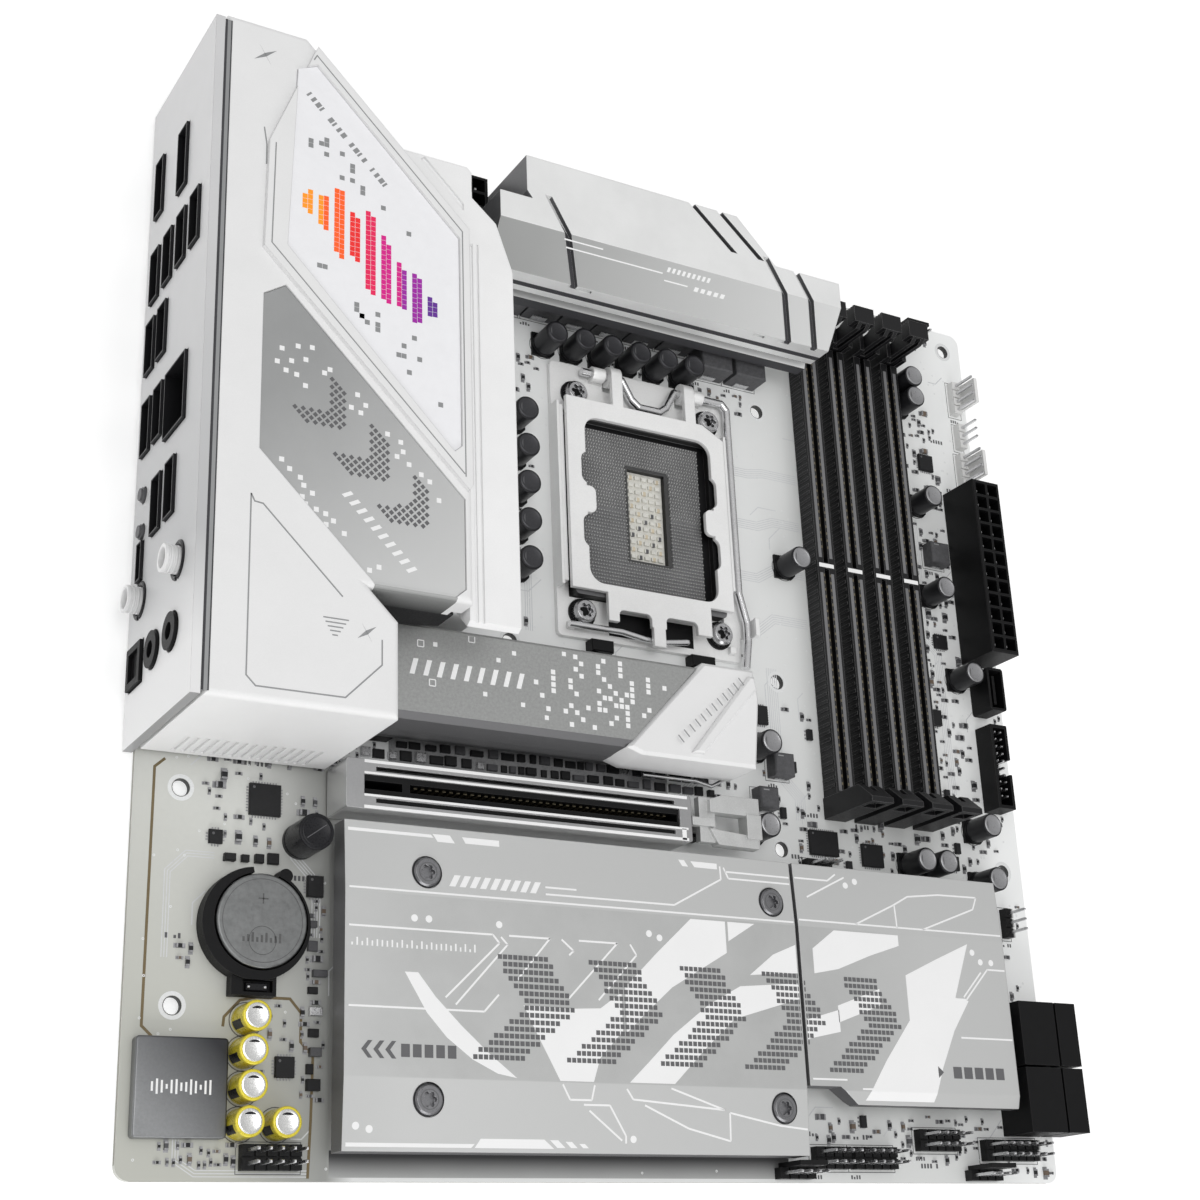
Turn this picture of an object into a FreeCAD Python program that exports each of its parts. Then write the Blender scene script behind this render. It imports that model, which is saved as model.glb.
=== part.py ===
"""A micro-ATX computer motherboard, modelled as separate physical pieces.

Lengths are millimetres.  While modelling, X runs from the board's rear edge, Y from its bottom edge and
Z up from the top face of the circuit board.  Each piece is moved to the datum mounting hole when saved.
"""
import FreeCAD, Part
import math
import os

V = FreeCAD.Vector

# ---------------------------------------------------------------- driving dimensions
BOARD = 243.84                 # side of the square board (9.6 inch)
BOARD_T = 1.6                  # circuit board thickness
BOARD_R = 3.0                  # corner radius
DATUM = (10.16, 34.29)         # datum mounting hole, the origin of the part
HOLE_R = 1.98                  # mounting hole radius
MOUNT_HOLES = [DATUM, (10.16, 80.01), (33.02, 237.49), (165.1, 80.01),
               (237.49, 80.01), (165.1, 237.49), (237.49, 237.49)]

SOCKET = (128.6, 163.56)       # centre of the processor socket
COOLER_PITCH = 78.0            # processor cooler hole spacing
COOLER_R = 2.0

IO_Y0, IO_Y1 = 87.0, 245.4     # rear connector plate, along the board's rear edge
IO_Z0, IO_Z1 = -2.0, 41.5
PLATE_X0, PLATE_X1 = -2.2, -1.2

SHROUD_TOP = 41.5              # top face of the big shroud
SHROUD_WALL = 1.6
FRAME_TOP = 42.7               # raised frame around the light panel

DIMM_X, DIMM_PITCH, DIMM_W = 179.7, 9.55, 5.9
DIMM_H = 5.6
DIMM_COUNT = 4
DIMM_KEY_Y = 157.6
LATCH_TOP = 20.0

PCIE_X0, PCIE_X1 = 43.0, 131.2
PCIE_Y0, PCIE_Y1 = 76.3, 87.4
PCIE_H = 11.4

COVER_TOP = 10.0               # top of the two lower covers
PIN = 2.54                     # pin header pitch

COIN = (27.5, 52.0)
COIN_R = 10.0


# ---------------------------------------------------------------- small shape helpers
def box(x0, y0, z0, x1, y1, z1):
    return Part.makeBox(x1 - x0, y1 - y0, z1 - z0, V(x0, y0, z0))


def round_box(x0, y0, z0, x1, y1, z1, r):
    """A box with its four upright edges rounded."""
    solid = box(x0, y0, z0, x1, y1, z1)
    upright = [e for e in solid.Edges if abs(e.tangentAt(e.FirstParameter).z) > 0.9]
    return solid.makeFillet(r, upright)


def cyl(x, y, z0, z1, r):
    return Part.makeCylinder(r, z1 - z0, V(x, y, z0))


def cyl_x(y, z, x0, x1, r):
    return Part.makeCylinder(r, x1 - x0, V(x0, y, z), V(1, 0, 0))


def cyl_y(x, z, y0, y1, r):
    return Part.makeCylinder(r, y1 - y0, V(x, y0, z), V(0, 1, 0))


def extrude(points, direction):
    wire = Part.makePolygon(points + [points[0]])
    return Part.Face(wire).extrude(direction)


def slab(outline, z0, z1):
    """Prism standing on an X-Y outline."""
    return extrude([V(x, y, z0) for x, y in outline], V(0, 0, z1 - z0))


def prism_x(outline, x0, x1):
    """Prism along X of a Y-Z outline."""
    return extrude([V(x0, y, z) for y, z in outline], V(x1 - x0, 0, 0))


def prism_y(outline, y0, y1):
    """Prism along Y of an X-Z outline."""
    return extrude([V(x, y0, z) for x, z in outline], V(0, y1 - y0, 0))


def fuse(shapes):
    return shapes[0].multiFuse(shapes[1:]).removeSplitter() if len(shapes) > 1 else shapes[0]


def cut(solid, tools):
    return solid.cut(Part.makeCompound(tools))


def chamfer_top(solid, size):
    """Bevel the edges that lie in the solid's top plane."""
    top = solid.BoundBox.ZMax
    rim = [e for e in solid.Edges if e.BoundBox.ZMin > top - 1e-6]
    return solid.makeChamfer(size, rim)


def fillet_top(solid, r):
    top = solid.BoundBox.ZMax
    rim = [e for e in solid.Edges if e.BoundBox.ZMin > top - 1e-6]
    return solid.makeFillet(r, rim)


def rod(points, r):
    """Round wire through the points, with ball corners."""
    parts = []
    for a, b in zip(points, points[1:]):
        run = b - a
        parts.append(Part.makeCylinder(r, run.Length, a, run))
    for corner in points[1:-1]:
        parts.append(Part.makeSphere(r, corner))
    return fuse(parts)


def star_recess(x, y, z0, z1, r):
    """Six-lobed screwdriver recess."""
    lobes = [cyl(x, y, z0, z1, 0.72 * r)]
    for i in range(6):
        a = math.radians(60 * i)
        lobes.append(cyl(x + 0.72 * r * math.cos(a), y + 0.72 * r * math.sin(a), z0, z1, 0.28 * r))
    return fuse(lobes)


def save(name, shape):
    """Move a piece, or a list of separate solids, to the datum and write its STEP file."""
    solids = shape if isinstance(shape, list) else [shape]
    moved = []
    for solid in solids:
        for part in solid.Solids:
            part = part.copy()
            part.translate(V(-DATUM[0], -DATUM[1], 0))
            moved.append(part)
    result = moved[0] if len(moved) == 1 else Part.makeCompound(moved)
    if not result.isValid():
        print("not valid:", name)
    result.exportStep("parts/" + name + ".step")


# ---------------------------------------------------------------- circuit board
ILM_SCREWS = [(108.9, 134.0), (149.1, 134.0), (108.9, 194.0), (149.1, 194.0)]
ILM_SCREW_R = 1.5


def cooler_holes():
    half = COOLER_PITCH / 2
    return [(SOCKET[0] + sx * half, SOCKET[1] + sy * half) for sx in (-1, 1) for sy in (-1, 1)]


def make_pcb():
    board = round_box(0, 0, -BOARD_T, BOARD, BOARD, 0, BOARD_R)
    holes = [cyl(x, y, -BOARD_T - 1, 1, HOLE_R) for x, y in MOUNT_HOLES]
    holes += [cyl(x, y, -BOARD_T - 1, 1, COOLER_R) for x, y in cooler_holes()]
    holes += [cyl(x, y, -BOARD_T - 1, 1, ILM_SCREW_R + 0.2) for x, y in ILM_SCREWS]
    return cut(board, holes)


# ---------------------------------------------------------------- rear connectors
USB_W, USB_H = 13.2, 5.9       # outside of a USB type A shell
SHELL_T = 0.35
PORT_FRONT = -2.9              # connectors stand a little proud of the plate
USB_PORTS = [(198.0, 5.2), (198.0, 14.4), (198.0, 23.6), (198.0, 32.8),
             (180.2, 4.2), (180.2, 12.6), (160.0, 4.2), (160.0, 12.6),
             (137.4, 14.4), (137.4, 23.6)]
DISPLAY_PORTS = [(219.0, 22.4, 16.2, 6.2), (221.2, 5.6, 15.2, 5.6)]
LAN_PORT = (158.4, 24.6, 16.0, 13.4)
TYPE_C_PORT = (127.6, 4.6, 9.0, 3.3)
AUDIO_JACKS = [(103.8, 28.4), (103.8, 16.4)]
AUDIO_Y0, AUDIO_Y1 = 98.0, 109.6
OPTICAL_Z = 4.9
ANTENNAS = [(118.4, 30.6), (118.4, 5.4)]
ANTENNA_TIP = -5.6
BUTTONS = {"bios_button": (134.6, 4.6), "cmos_button": (143.4, 4.6)}
BUTTON_R = 1.7


def port_hole(y, z, w, h, gap=0.25):
    return box(PLATE_X0 - 1, y - w / 2 - gap, z - h / 2 - gap, PLATE_X1 + 1, y + w / 2 + gap, z + h / 2 + gap)


def make_io_plate():
    plate = box(PLATE_X0, IO_Y0, IO_Z0, PLATE_X1, IO_Y1, IO_Z1)
    rim = [box(PLATE_X1, IO_Y0, IO_Z1 - 0.8, -0.1, IO_Y1, IO_Z1),
           box(PLATE_X1, IO_Y0, IO_Z0, -0.1, IO_Y0 + 0.8, IO_Z1),
           box(PLATE_X1, IO_Y1 - 0.8, IO_Z0, -0.1, IO_Y1, IO_Z1)]
    plate = fuse([plate] + rim)
    holes = [port_hole(y, z, USB_W, USB_H) for y, z in USB_PORTS]
    holes += [port_hole(y, z, w, h) for y, z, w, h in DISPLAY_PORTS]
    holes.append(port_hole(*LAN_PORT))
    holes.append(port_hole(*TYPE_C_PORT))
    holes.append(port_hole((AUDIO_Y0 + AUDIO_Y1) / 2, OPTICAL_Z, 9.4, 9.4))
    holes += [cyl_x(y, z, PLATE_X0 - 1, PLATE_X1 + 1, 4.3) for y, z in AUDIO_JACKS]
    holes += [cyl_x(y, z, PLATE_X0 - 1, PLATE_X1 + 1, 3.3) for y, z in ANTENNAS]
    holes += [cyl_x(y, z, PLATE_X0 - 1, PLATE_X1 + 1, BUTTON_R + 0.3) for y, z in BUTTONS.values()]
    return cut(plate, holes)


def port_shell(y, z, w, h, depth):
    """Folded sheet metal connector shell, open towards the rear."""
    outer = box(PORT_FRONT, y - w / 2, z - h / 2, depth, y + w / 2, z + h / 2)
    inner = box(PORT_FRONT - 1, y - w / 2 + SHELL_T, z - h / 2 + SHELL_T,
                depth - SHELL_T, y + w / 2 - SHELL_T, z + h / 2 - SHELL_T)
    return outer.cut(inner)


def make_rear_port_shells():
    shells = [port_shell(y, z, USB_W, USB_H, 13.5) for y, z in USB_PORTS]
    shells += [port_shell(y, z, w, h, 12.0) for y, z, w, h in DISPLAY_PORTS]
    shells.append(port_shell(*LAN_PORT, 17.0))
    shells.append(port_shell(*TYPE_C_PORT, 8.0))
    return shells


def make_rear_port_inserts():
    """Plastic tongues that carry the contacts inside each rear connector."""
    tongues = []
    for y, z in USB_PORTS:
        tongues.append(box(-1.6, y - 5.6, z + 0.3, 12.9, y + 5.6, z + 2.1))
    for y, z, w, h in DISPLAY_PORTS:
        tongues.append(box(-1.4, y - w / 2 + 2.6, z - 0.5, 11.5, y + w / 2 - 2.6, z + 0.5))
    y, z, w, h = LAN_PORT
    tongues.append(box(6.0, y - 5.8, z - 5.9, 16.5, y + 5.8, z - 1.0))
    y, z, w, h = TYPE_C_PORT
    tongues.append(box(-1.4, y - 3.3, z - 0.35, 7.5, y + 3.3, z + 0.35))
    return tongues


def make_audio_jacks():
    """One block with two round jacks over a square optical socket."""
    mid = (AUDIO_Y0 + AUDIO_Y1) / 2
    block = box(-0.9, AUDIO_Y0, 0, 14.0, AUDIO_Y1, 35.0)
    noses = [cyl_x(y, z, -3.0, 0, 4.0) for y, z in AUDIO_JACKS]
    noses.append(box(-3.0, mid - 4.6, OPTICAL_Z - 4.6, 0, mid + 4.6, OPTICAL_Z + 4.6))
    bores = [cyl_x(y, z, -4.0, 12.0, 1.85) for y, z in AUDIO_JACKS]
    bores.append(box(-4.0, mid - 3.2, OPTICAL_Z - 3.2, -2.0, mid + 3.2, OPTICAL_Z + 3.2))
    return fuse([block] + noses).cut(Part.makeCompound(bores))


def make_antenna_posts():
    """Threaded coaxial posts of the wireless module."""
    posts = []
    for y, z in ANTENNAS:
        barrel = cyl_x(y, z, ANTENNA_TIP, 4.0, 3.0)
        flange = cyl_x(y, z, -0.8, 0.6, 4.4)
        threads = []
        for i in range(4):
            x = ANTENNA_TIP + 0.7 + 0.9 * i
            ring_cut = cyl_x(y, z, x, x + 0.4, 3.4).cut(cyl_x(y, z, x, x + 0.4, 2.75))
            threads.append(ring_cut)
        bore = cyl_x(y, z, ANTENNA_TIP - 0.5, -2.0, 2.2)
        needle = cyl_x(y, z, ANTENNA_TIP + 1.2, -1.9, 0.45)
        post = fuse([barrel, flange]).cut(Part.makeCompound(threads + [bore]))
        posts.append(fuse([post, needle]))
    return posts


def make_button(name):
    """A small push button that travels into the plate."""
    y, z = BUTTONS[name]
    stem = cyl_x(y, z, -2.8, 3.0, BUTTON_R)
    crown = cyl_x(y, z, -3.3, -2.8, BUTTON_R - 0.3)
    return fuse([stem, crown])


# ---------------------------------------------------------------- big rear shroud
SHROUD_OUTLINE = [(0.6, 87.0), (42.0, 87.0), (42.0, 108.2), (35.4, 114.8), (59.4, 114.8),
                  (59.4, 206.6), (19.4, 246.6), (0.6, 246.6)]
FRAME_OUTLINE = [(10.6, 216.0), (10.0, 189.0), (58.2, 140.6), (59.0, 142.0), (59.0, 206.4), (21.5, 244.0)]
LENS_OUTLINE = [(17.0, 237.0), (21.5, 239.0), (56.6, 203.4), (56.6, 151.0), (54.6, 149.2), (15.2, 190.4)]
METAL_OUTLINE = [(10.5, 141.5), (36.5, 115.5), (55.0, 115.5), (57.6, 117.8),
                 (57.6, 138.8), (15.5, 181.2), (10.5, 178.0)]


def inset(outline, gap):
    """Shrink a closed outline towards its middle by a constant distance."""
    wire = Part.makePolygon([V(x, y, 0) for x, y in outline + [outline[0]]])
    return Part.Face(wire).makeOffset2D(-gap, 0, False, False, False)


def inset_slab(outline, gap, z0, z1):
    face = inset(outline, gap)
    solid = Part.Face(face.Wires[0]) if not face.Faces else face.Faces[0]
    solid.translate(V(0, 0, z0))
    return solid.extrude(V(0, 0, z1 - z0))


def make_io_shroud():
    outer = slab(SHROUD_OUTLINE, 1.5, SHROUD_TOP)
    outer = fillet_top(outer, 1.4)
    inner = inset_slab(SHROUD_OUTLINE, SHROUD_WALL, 0, SHROUD_TOP - SHROUD_WALL)
    shell = outer.cut(inner)
    shell = shell.fuse(slab(FRAME_OUTLINE, SHROUD_TOP - 0.5, FRAME_TOP)).removeSplitter()
    tools = [slab(LENS_OUTLINE, SHROUD_TOP - 1.0, FRAME_TOP + 1),
             slab(METAL_OUTLINE, SHROUD_TOP - 1.1, FRAME_TOP + 1),
             box(-1, IO_Y0 + 3, 0, 3, IO_Y1 - 1.2, SHROUD_TOP - SHROUD_WALL),
             box(41.2, 111.6, 0, 62, 117.0, 33.0),
             box(57.0, 111, 0, 62, 230, 35.0)]
    tools += [box(6.5 + 2.1 * i, 86, 3.0, 7.5 + 2.1 * i, 87.5, 13.5) for i in range(15)]
    return cut(shell, tools)


def make_shroud_metal_plate():
    plate = inset_slab(METAL_OUTLINE, 0.12, SHROUD_TOP - 1.1, SHROUD_TOP - 0.35)
    return plate


def make_shroud_light_panel():
    return inset_slab(LENS_OUTLINE, 0.1, SHROUD_TOP - 1.0, SHROUD_TOP + 0.55)


# ---------------------------------------------------------------- power stage cooling
COLUMN_X0, COLUMN_X1 = 60.0, 72.5
COLUMN_Y0, COLUMN_Y1 = 111.5, 220.0
COLUMN_TOP = 38.0
WING_T = 6.0
TOP_SINK_X0, TOP_SINK_X1 = 74.0, 176.0
CHOKE_TOP = 7.0
PAD_T = 1.5
SINK_BASE = CHOKE_TOP + PAD_T
MOSFET_H = 0.9


def make_vrm_heatsink_left():
    side = [(COLUMN_Y0, 36.4), (112.4, COLUMN_TOP), (COLUMN_Y1, COLUMN_TOP), (COLUMN_Y1, SINK_BASE),
            (121.5, SINK_BASE), (121.5, 24.0), (118.6, 29.0)]
    column = prism_x(side, COLUMN_X0, COLUMN_X1)
    taper = slab([(COLUMN_X1 + 1, 201.0), (COLUMN_X1, 201.0), (68.4, 213.0), (62.2, 218.4),
                  (62.2, 225.0), (COLUMN_X1 + 1, 225.0)], 0, 50)
    grooves = [box(61.5, 100, COLUMN_TOP - 0.4, 62.1, 206, 50), box(63.2, 100, COLUMN_TOP - 0.4, 63.6, 206, 50)]
    fins = [box(COLUMN_X0 - 1, 126 + 11 * i, 14, COLUMN_X0 + 7, 129 + 11 * i, 33) for i in range(8)]
    column = cut(column, [taper] + grooves + fins)
    foot = box(47.5, 122, SINK_BASE, COLUMN_X0, 206, 12.0)
    pedestal = box(48.5, 122, MOSFET_H + 1.0, 57.0, 206, SINK_BASE)
    return fuse([column, foot, pedestal, heatsink_wing()])


def heatsink_wing():
    """Plate at the head of the left heatsink that covers the corner beside the rear shroud."""
    wing = slab([(62.0, 205.2), (59.9, 207.3), (42.4, 224.8), (44.0, 226.4), (61.0, 226.4), (62.2, 225.2)],
                COLUMN_TOP - WING_T, COLUMN_TOP)
    groove = slab([(49.2, 225.2), (60.0, 214.4), (60.9, 215.3), (50.1, 226.1)], COLUMN_TOP - 0.5, 50)
    return cut(wing, [groove])


def diagonal_groove(x_top, x_low, width=1.9):
    """Outline of a narrow groove that runs obliquely down the top heatsink and bends at its crease."""
    x_mid = x_top + 0.45 * (x_low - x_top)
    return [(x_top, 231.0), (x_top + width, 231.0), (x_mid + width, 222.0),
            (x_low + width, 211.0), (x_low, 211.0), (x_mid, 222.0)]


def make_vrm_heatsink_top():
    profile = [(212.0, SINK_BASE), (212.0, 12.0), (213.6, 12.6), (213.6, 16.6), (212.0, 17.2),
               (212.0, 23.0), (221.6, 30.0), (229.0, 30.0), (229.0, SINK_BASE)]
    body = prism_x(profile, TOP_SINK_X0, TOP_SINK_X1)
    rear = slab([(83.0, 229.0), (81.5, 231.0), (81.5, 241.0), (144.0, 241.0), (155.4, 229.0)], SINK_BASE, 30.0)
    pedestal = box(84.0, 226.0, MOSFET_H + 1.0, 144.0, 232.0, SINK_BASE)
    sink = fuse([body, rear, pedestal])
    skin = prism_x([(211, 21.6), (212, 21.6), (221.6, 28.6), (232, 28.6), (232, 40), (211, 40)], 60, 190)
    lanes = [slab(diagonal_groove(x, x + 11.0), 21.6, 40).common(skin) for x in (86.5, 151.5, 160.0)]
    lanes += [slab([(x, 242.0), (x + 1.9, 242.0), (x + 15.4, 229.6), (x + 13.4, 229.6)], 28.6, 40)
              for x in (128.0, 136.5)]
    notches = [box(x, 211, 21.2, x + 3.4, 212.7, 22.2) for x in (100.0, 152.5, 160.5)]
    return cut(sink, lanes + notches)


LEFT_CHOKES = [(61.2, 123.0 + 11.0 * i) for i in range(8)]
TOP_CHOKES = [(84.5 + 10.2 * i, 214.2) for i in range(6)] + [(146.3, 208.6), (157.1, 208.6)]
CHOKE_SIDE = 9.6
SMALL_CHOKES = [(162.4, 98.2, 6.0), (157.2, 89.2, 5.6), (221.6, 166.0, 6.4)]


def make_vrm_chokes():
    chokes = [chamfer_top(box(x, y, 0, x + CHOKE_SIDE, y + CHOKE_SIDE, CHOKE_TOP), 0.4)
              for x, y in LEFT_CHOKES + TOP_CHOKES]
    chokes += [chamfer_top(box(x, y, 0, x + s, y + s, 4.0), 0.4) for x, y, s in SMALL_CHOKES]
    return chokes


def make_vrm_mosfets():
    """Power stages under the two heatsinks."""
    left = [box(50.0, 123.0 + 11.0 * i, 0, 55.0, 129.0 + 11.0 * i, MOSFET_H) for i in range(8)]
    top = [box(85.5 + 10.2 * i, 226.4, 0, 91.5 + 10.2 * i, 231.6, MOSFET_H) for i in range(6)]
    return left + top


# ---------------------------------------------------------------- capacitors and chips
CAP_R, CAP_H = 3.15, 8.5
POLYMER_CAPS = ([(91.8, 143.5 + 10.0 * i) for i in range(5)]
                + [(101.0 + 8.3 * i, 207.0) for i in range(6)]
                + [(172.5, 157.2), (158.6, 105.2), (156.3, 83.6), (204.8, 79.0), (211.8, 79.0), (228.2, 75.8),
                   (228.2, 90.2), (228.2, 132.8), (217.9, 214.7), (217.9, 221.2), (220.4, 184.1), (221.4, 156.7)])
AUDIO_CAPS = [(25.9, 32.0), (25.4, 25.2), (25.4, 18.1), (24.9, 11.0), (32.8, 11.0)]
BULK_CAP = (37.0, 70.6)


def can(x, y, r, h):
    """Capacitor can: rounded top edge and a small crimp groove above the base."""
    body = fillet_top(cyl(x, y, 0, h, r), 0.35)
    crimp = cyl(x, y, 1.2, 1.7, r + 1).cut(cyl(x, y, 1.2, 1.7, r - 0.22))
    return body.cut(crimp)


def make_polymer_caps():
    return [can(x, y, CAP_R, CAP_H) for x, y in POLYMER_CAPS]


def make_audio_caps():
    return [can(x, y, CAP_R, 7.0) for x, y in AUDIO_CAPS]


def make_bulk_cap():
    return can(BULK_CAP[0], BULK_CAP[1], 4.0, 10.0)


CHIPS = [(25.2, 75.5, 32.3, 82.5, 0.9), (16.5, 68.5, 19.5, 71.5, 0.8), (32.3, 20.5, 36.5, 24.8, 0.9),
         (38.7, 58.6, 42.3, 63.2, 1.2), (173.6, 79.4, 182.4, 85.8, 1.0), (190.0, 77.7, 196.6, 83.6, 1.0),
         (218.4, 79.0, 222.0, 82.8, 0.9), (84.4, 128.6, 89.4, 133.6, 0.9), (223.2, 196.0, 228.2, 201.0, 0.9),
         (216.6, 118.8, 221.0, 123.2, 1.3), (221.8, 141.6, 226.2, 145.6, 1.0), (158.4, 112.2, 163.4, 117.2, 0.9)]


def make_chips():
    return [chamfer_top(box(x0, y0, 0, x1, y1, h), 0.12) for x0, y0, x1, y1, h in CHIPS]


def make_audio_shield():
    """Thin folded metal can over the audio chip."""
    outer = fillet_top(round_box(2.3, 8.0, 0, 21.6, 27.8, 2.6, 0.8), 0.4)
    return outer.cut(box(2.8, 8.5, -1, 21.1, 27.3, 2.2))


# ---------------------------------------------------------------- chipset and lower covers
CHIPSET = (196.0, 47.0)


def make_chipset():
    x, y = CHIPSET
    package = box(x - 12.5, y - 12.5, 0, x + 12.5, y + 12.5, 1.0)
    die = box(x - 6.0, y - 5.0, 1.0, x + 6.0, y + 5.0, 1.8)
    return fuse([package, die])


def cover_skin(outline, y_low, y_high, z_side):
    """Cover plate whose top dips by 0.9 mm outside two long creases."""
    crease_low, crease_high = 20.1, 58.6
    dip = COVER_TOP - 0.9
    profile = [(y_low, z_side), (y_low, dip), (crease_low, COVER_TOP), (crease_high, COVER_TOP),
               (y_high, dip), (y_high, z_side)]
    return slab(outline, 0, 20).common(prism_x(profile, 0, BOARD))


COVER_SCREWS = [(62.8, 63.9), (153.8, 63.9), (62.8, 15.7), (153.4, 15.7)]


def make_m2_lower_heatsink():
    outline = [(43.6, 5.2), (160.1, 5.2), (160.1, 74.2), (43.6, 74.2)]
    plate = cover_skin(outline, 5.2, 74.2, 3.6)
    hollow = [box(45.4, 7.0, 0, 158.3, 25.0, 6.4), box(45.4, 29.0, 0, 158.3, 50.5, 6.4),
              box(45.4, 54.0, 0, 158.3, 72.4, 6.4), box(45.4, 7.0, 0, 58.4, 72.4, 6.4)]
    bores = [cyl(x, y, 0, 20, 2.1) for x, y in COVER_SCREWS]
    bores += [cyl(x, y, 8.4, 20, 3.6) for x, y in COVER_SCREWS]
    return cut(plate, hollow + bores)


def make_cover_screws():
    """Captive screws: head, neck and threaded shank into the standoff."""
    screws = []
    for x, y in COVER_SCREWS:
        head = chamfer_top(cyl(x, y, 8.4, 10.3, 3.2), 0.4)
        shank = cyl(x, y, 2.4, 8.4, 1.3)
        screw = fuse([head, shank]).cut(star_recess(x, y, 9.2, 11, 1.7))
        screws.append(screw)
    return screws


def make_chipset_heatsink():
    outline = [(161.1, 21.0), (170.0, 21.0), (175.4, 17.0), (225.4, 17.0), (225.4, 74.2), (161.1, 74.2)]
    plate = cover_skin(outline, 17.0, 74.2, 5.0)
    under = prism_x([(16, 4), (20, 4), (16, 6.2)], 160, 230)
    x, y = CHIPSET
    pedestal = box(x - 9, y - 8, 2.6, x + 9, y + 8, 6.0)
    hollow = box(163.4, 23.0, 0, 223.2, 72.0, 6.0)
    return fuse([cut(plate, [under, hollow]), pedestal])


M2_SOCKETS = [(49.0, 95.4), (49.0, 29.6), (49.0, 7.8)]
M2_W = 21.6


def make_m2_sockets():
    """Edge connectors for solid-state drives, one solid each."""
    sockets = []
    for x, y in M2_SOCKETS:
        body = box(x, y, 0, x + 8.4, y + M2_W - 0.8, 4.1)
        mouth = box(x + 2.6, y + 0.9, 1.6, x + 9, y + M2_W - 1.7, 2.7)
        lead_in = box(x + 7.2, y + 0.9, 1.6, x + 9, y + M2_W - 1.7, 5)
        sockets.append(cut(body, [mouth, lead_in]))
    return sockets


def make_m2_standoffs():
    """Metal studs: drive supports and the cover screws' threaded posts."""
    studs = []
    for x, y in COVER_SCREWS:
        studs.append(cyl(x, y, 0, 6.4, 2.6).cut(cyl(x, y, 2.4, 7, 1.3)))
    for x, y in ((140.2, 40.0), (140.2, 18.2)):
        studs.append(cyl(x, y, 0, 2.4, 2.4))
    studs.append(cyl(M2_TURN[0], M2_TURN[1], 0, 1.4, 2.6))
    return studs


M2_TURN = (140.2, 106.0)


def make_m2_retainer():
    """Quarter-turn plastic catch that holds the end of the upper drive."""
    x, y = M2_TURN
    disc = cyl(x, y, 1.5, 3.4, 3.0)
    tongue = box(x - 4.6, y - 1.2, 2.5, x, y + 1.2, 3.4)
    grip = box(x - 0.4, y - 2.4, 3.4, x + 0.4, y + 2.4, 4.4)
    return fuse([disc, tongue, grip])


# ---------------------------------------------------------------- upper drive heatsink
UPPER_X0, UPPER_TOP = 45.6, 20.0
HOOK_X, HOOK_Z = 44.9, 6.2      # tilting axis of the upper heatsink
LATCH_OUTLINE = [(109.2, 95.0), (113.4, 93.6), (145.4, 93.6), (147.4, 111.4), (146.2, 118.6), (131.6, 118.6)]
LATCH_FLOOR = 7.4


def make_m2_upper_heatsink():
    """Long finned bar over the upper drive; its right end is stepped down to carry the latch."""
    profile = [(95.0, 5.2), (95.0, 8.6), (94.4, 8.6), (94.4, 12.6), (95.2, 18.4), (96.6, UPPER_TOP),
               (116.4, UPPER_TOP), (117.2, 19.0), (117.2, 5.2)]
    bar = prism_x(profile, UPPER_X0, 144.6)
    step = slab([(108.8, 90.0), (108.8, 94.6), (131.6, 119.0), (150.0, 119.0), (150.0, 90.0)], LATCH_FLOOR - 0.1, 30)
    fins = [box(UPPER_X0 + 4, 97.4 + 3.2 * i, 5, 142.0, 98.8 + 3.2 * i, 6.6) for i in range(6)]
    hook = fuse([cyl_y(HOOK_X, HOOK_Z, 100, 112, 0.9), box(HOOK_X, 100, HOOK_Z - 0.9, UPPER_X0, 112, HOOK_Z + 0.9)])
    return cut(fuse([bar, hook]), [step] + fins)


def make_m2_release_latch():
    """White sliding block with a raised oblique thumb bar."""
    block = slab(LATCH_OUTLINE, LATCH_FLOOR, UPPER_TOP)
    block = chamfer_top(block, 0.8)
    bar = slab([(126.6, 95.4), (130.0, 95.4), (146.2, 113.2), (145.6, 116.4), (144.0, 116.4)], UPPER_TOP - 0.1, 21.2)
    bar = chamfer_top(bar, 0.6)
    hollow = box(122.0, 98.0, LATCH_FLOOR - 1, 142.0, 112.0, 15.0)
    return fuse([block, bar]).cut(hollow)


def make_latch_spring():
    """Bent wire that pushes the latch back out."""
    z = 6.0
    points = [V(121.5, 93.2, z), (V(136.5, 93.2, z)), V(141.0, 92.2, z), V(146.0, 95.0, z), V(146.0, 104.0, z)]
    return rod(points, 0.45)


# ---------------------------------------------------------------- expansion slot
PCIE_MID = 81.85
PCIE_KEY_X = 57.4


def make_pcie_body():
    body = box(PCIE_X0 + 1.2, PCIE_Y0 + 1.9, 0, PCIE_X1 - 1.2, PCIE_Y1 - 1.9, PCIE_H - 0.7)
    slots = [box(PCIE_X0 + 4.6, PCIE_MID - 0.95, 1.6, PCIE_KEY_X - 0.9, PCIE_MID + 0.95, 20),
             box(PCIE_KEY_X + 0.9, PCIE_MID - 0.95, 1.6, PCIE_X1 - 3.6, PCIE_MID + 0.95, 20)]
    tail = box(PCIE_X1, PCIE_MID - 2.6, 0, PCIE_X1 + 3.0, PCIE_MID + 2.6, 5.4)
    ears = [box(PCIE_X1 + 3.0, PCIE_MID + s * 2.2 - 0.4, 0, PCIE_X1 + 7.4, PCIE_MID + s * 2.2 + 0.4, 5.4)
            for s in (-1, 1)]
    floor = box(PCIE_X1 - 1.3, PCIE_MID - 2.6, 0, PCIE_X1 + 0.1, PCIE_MID + 2.6, 0.6)
    pin = cyl_y(PCIE_X1 + 5.4, 3.2, PCIE_MID - 2.0, PCIE_MID + 2.0, 0.9)
    return cut(fuse([body, floor, tail] + ears + [pin]), slots)


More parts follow.
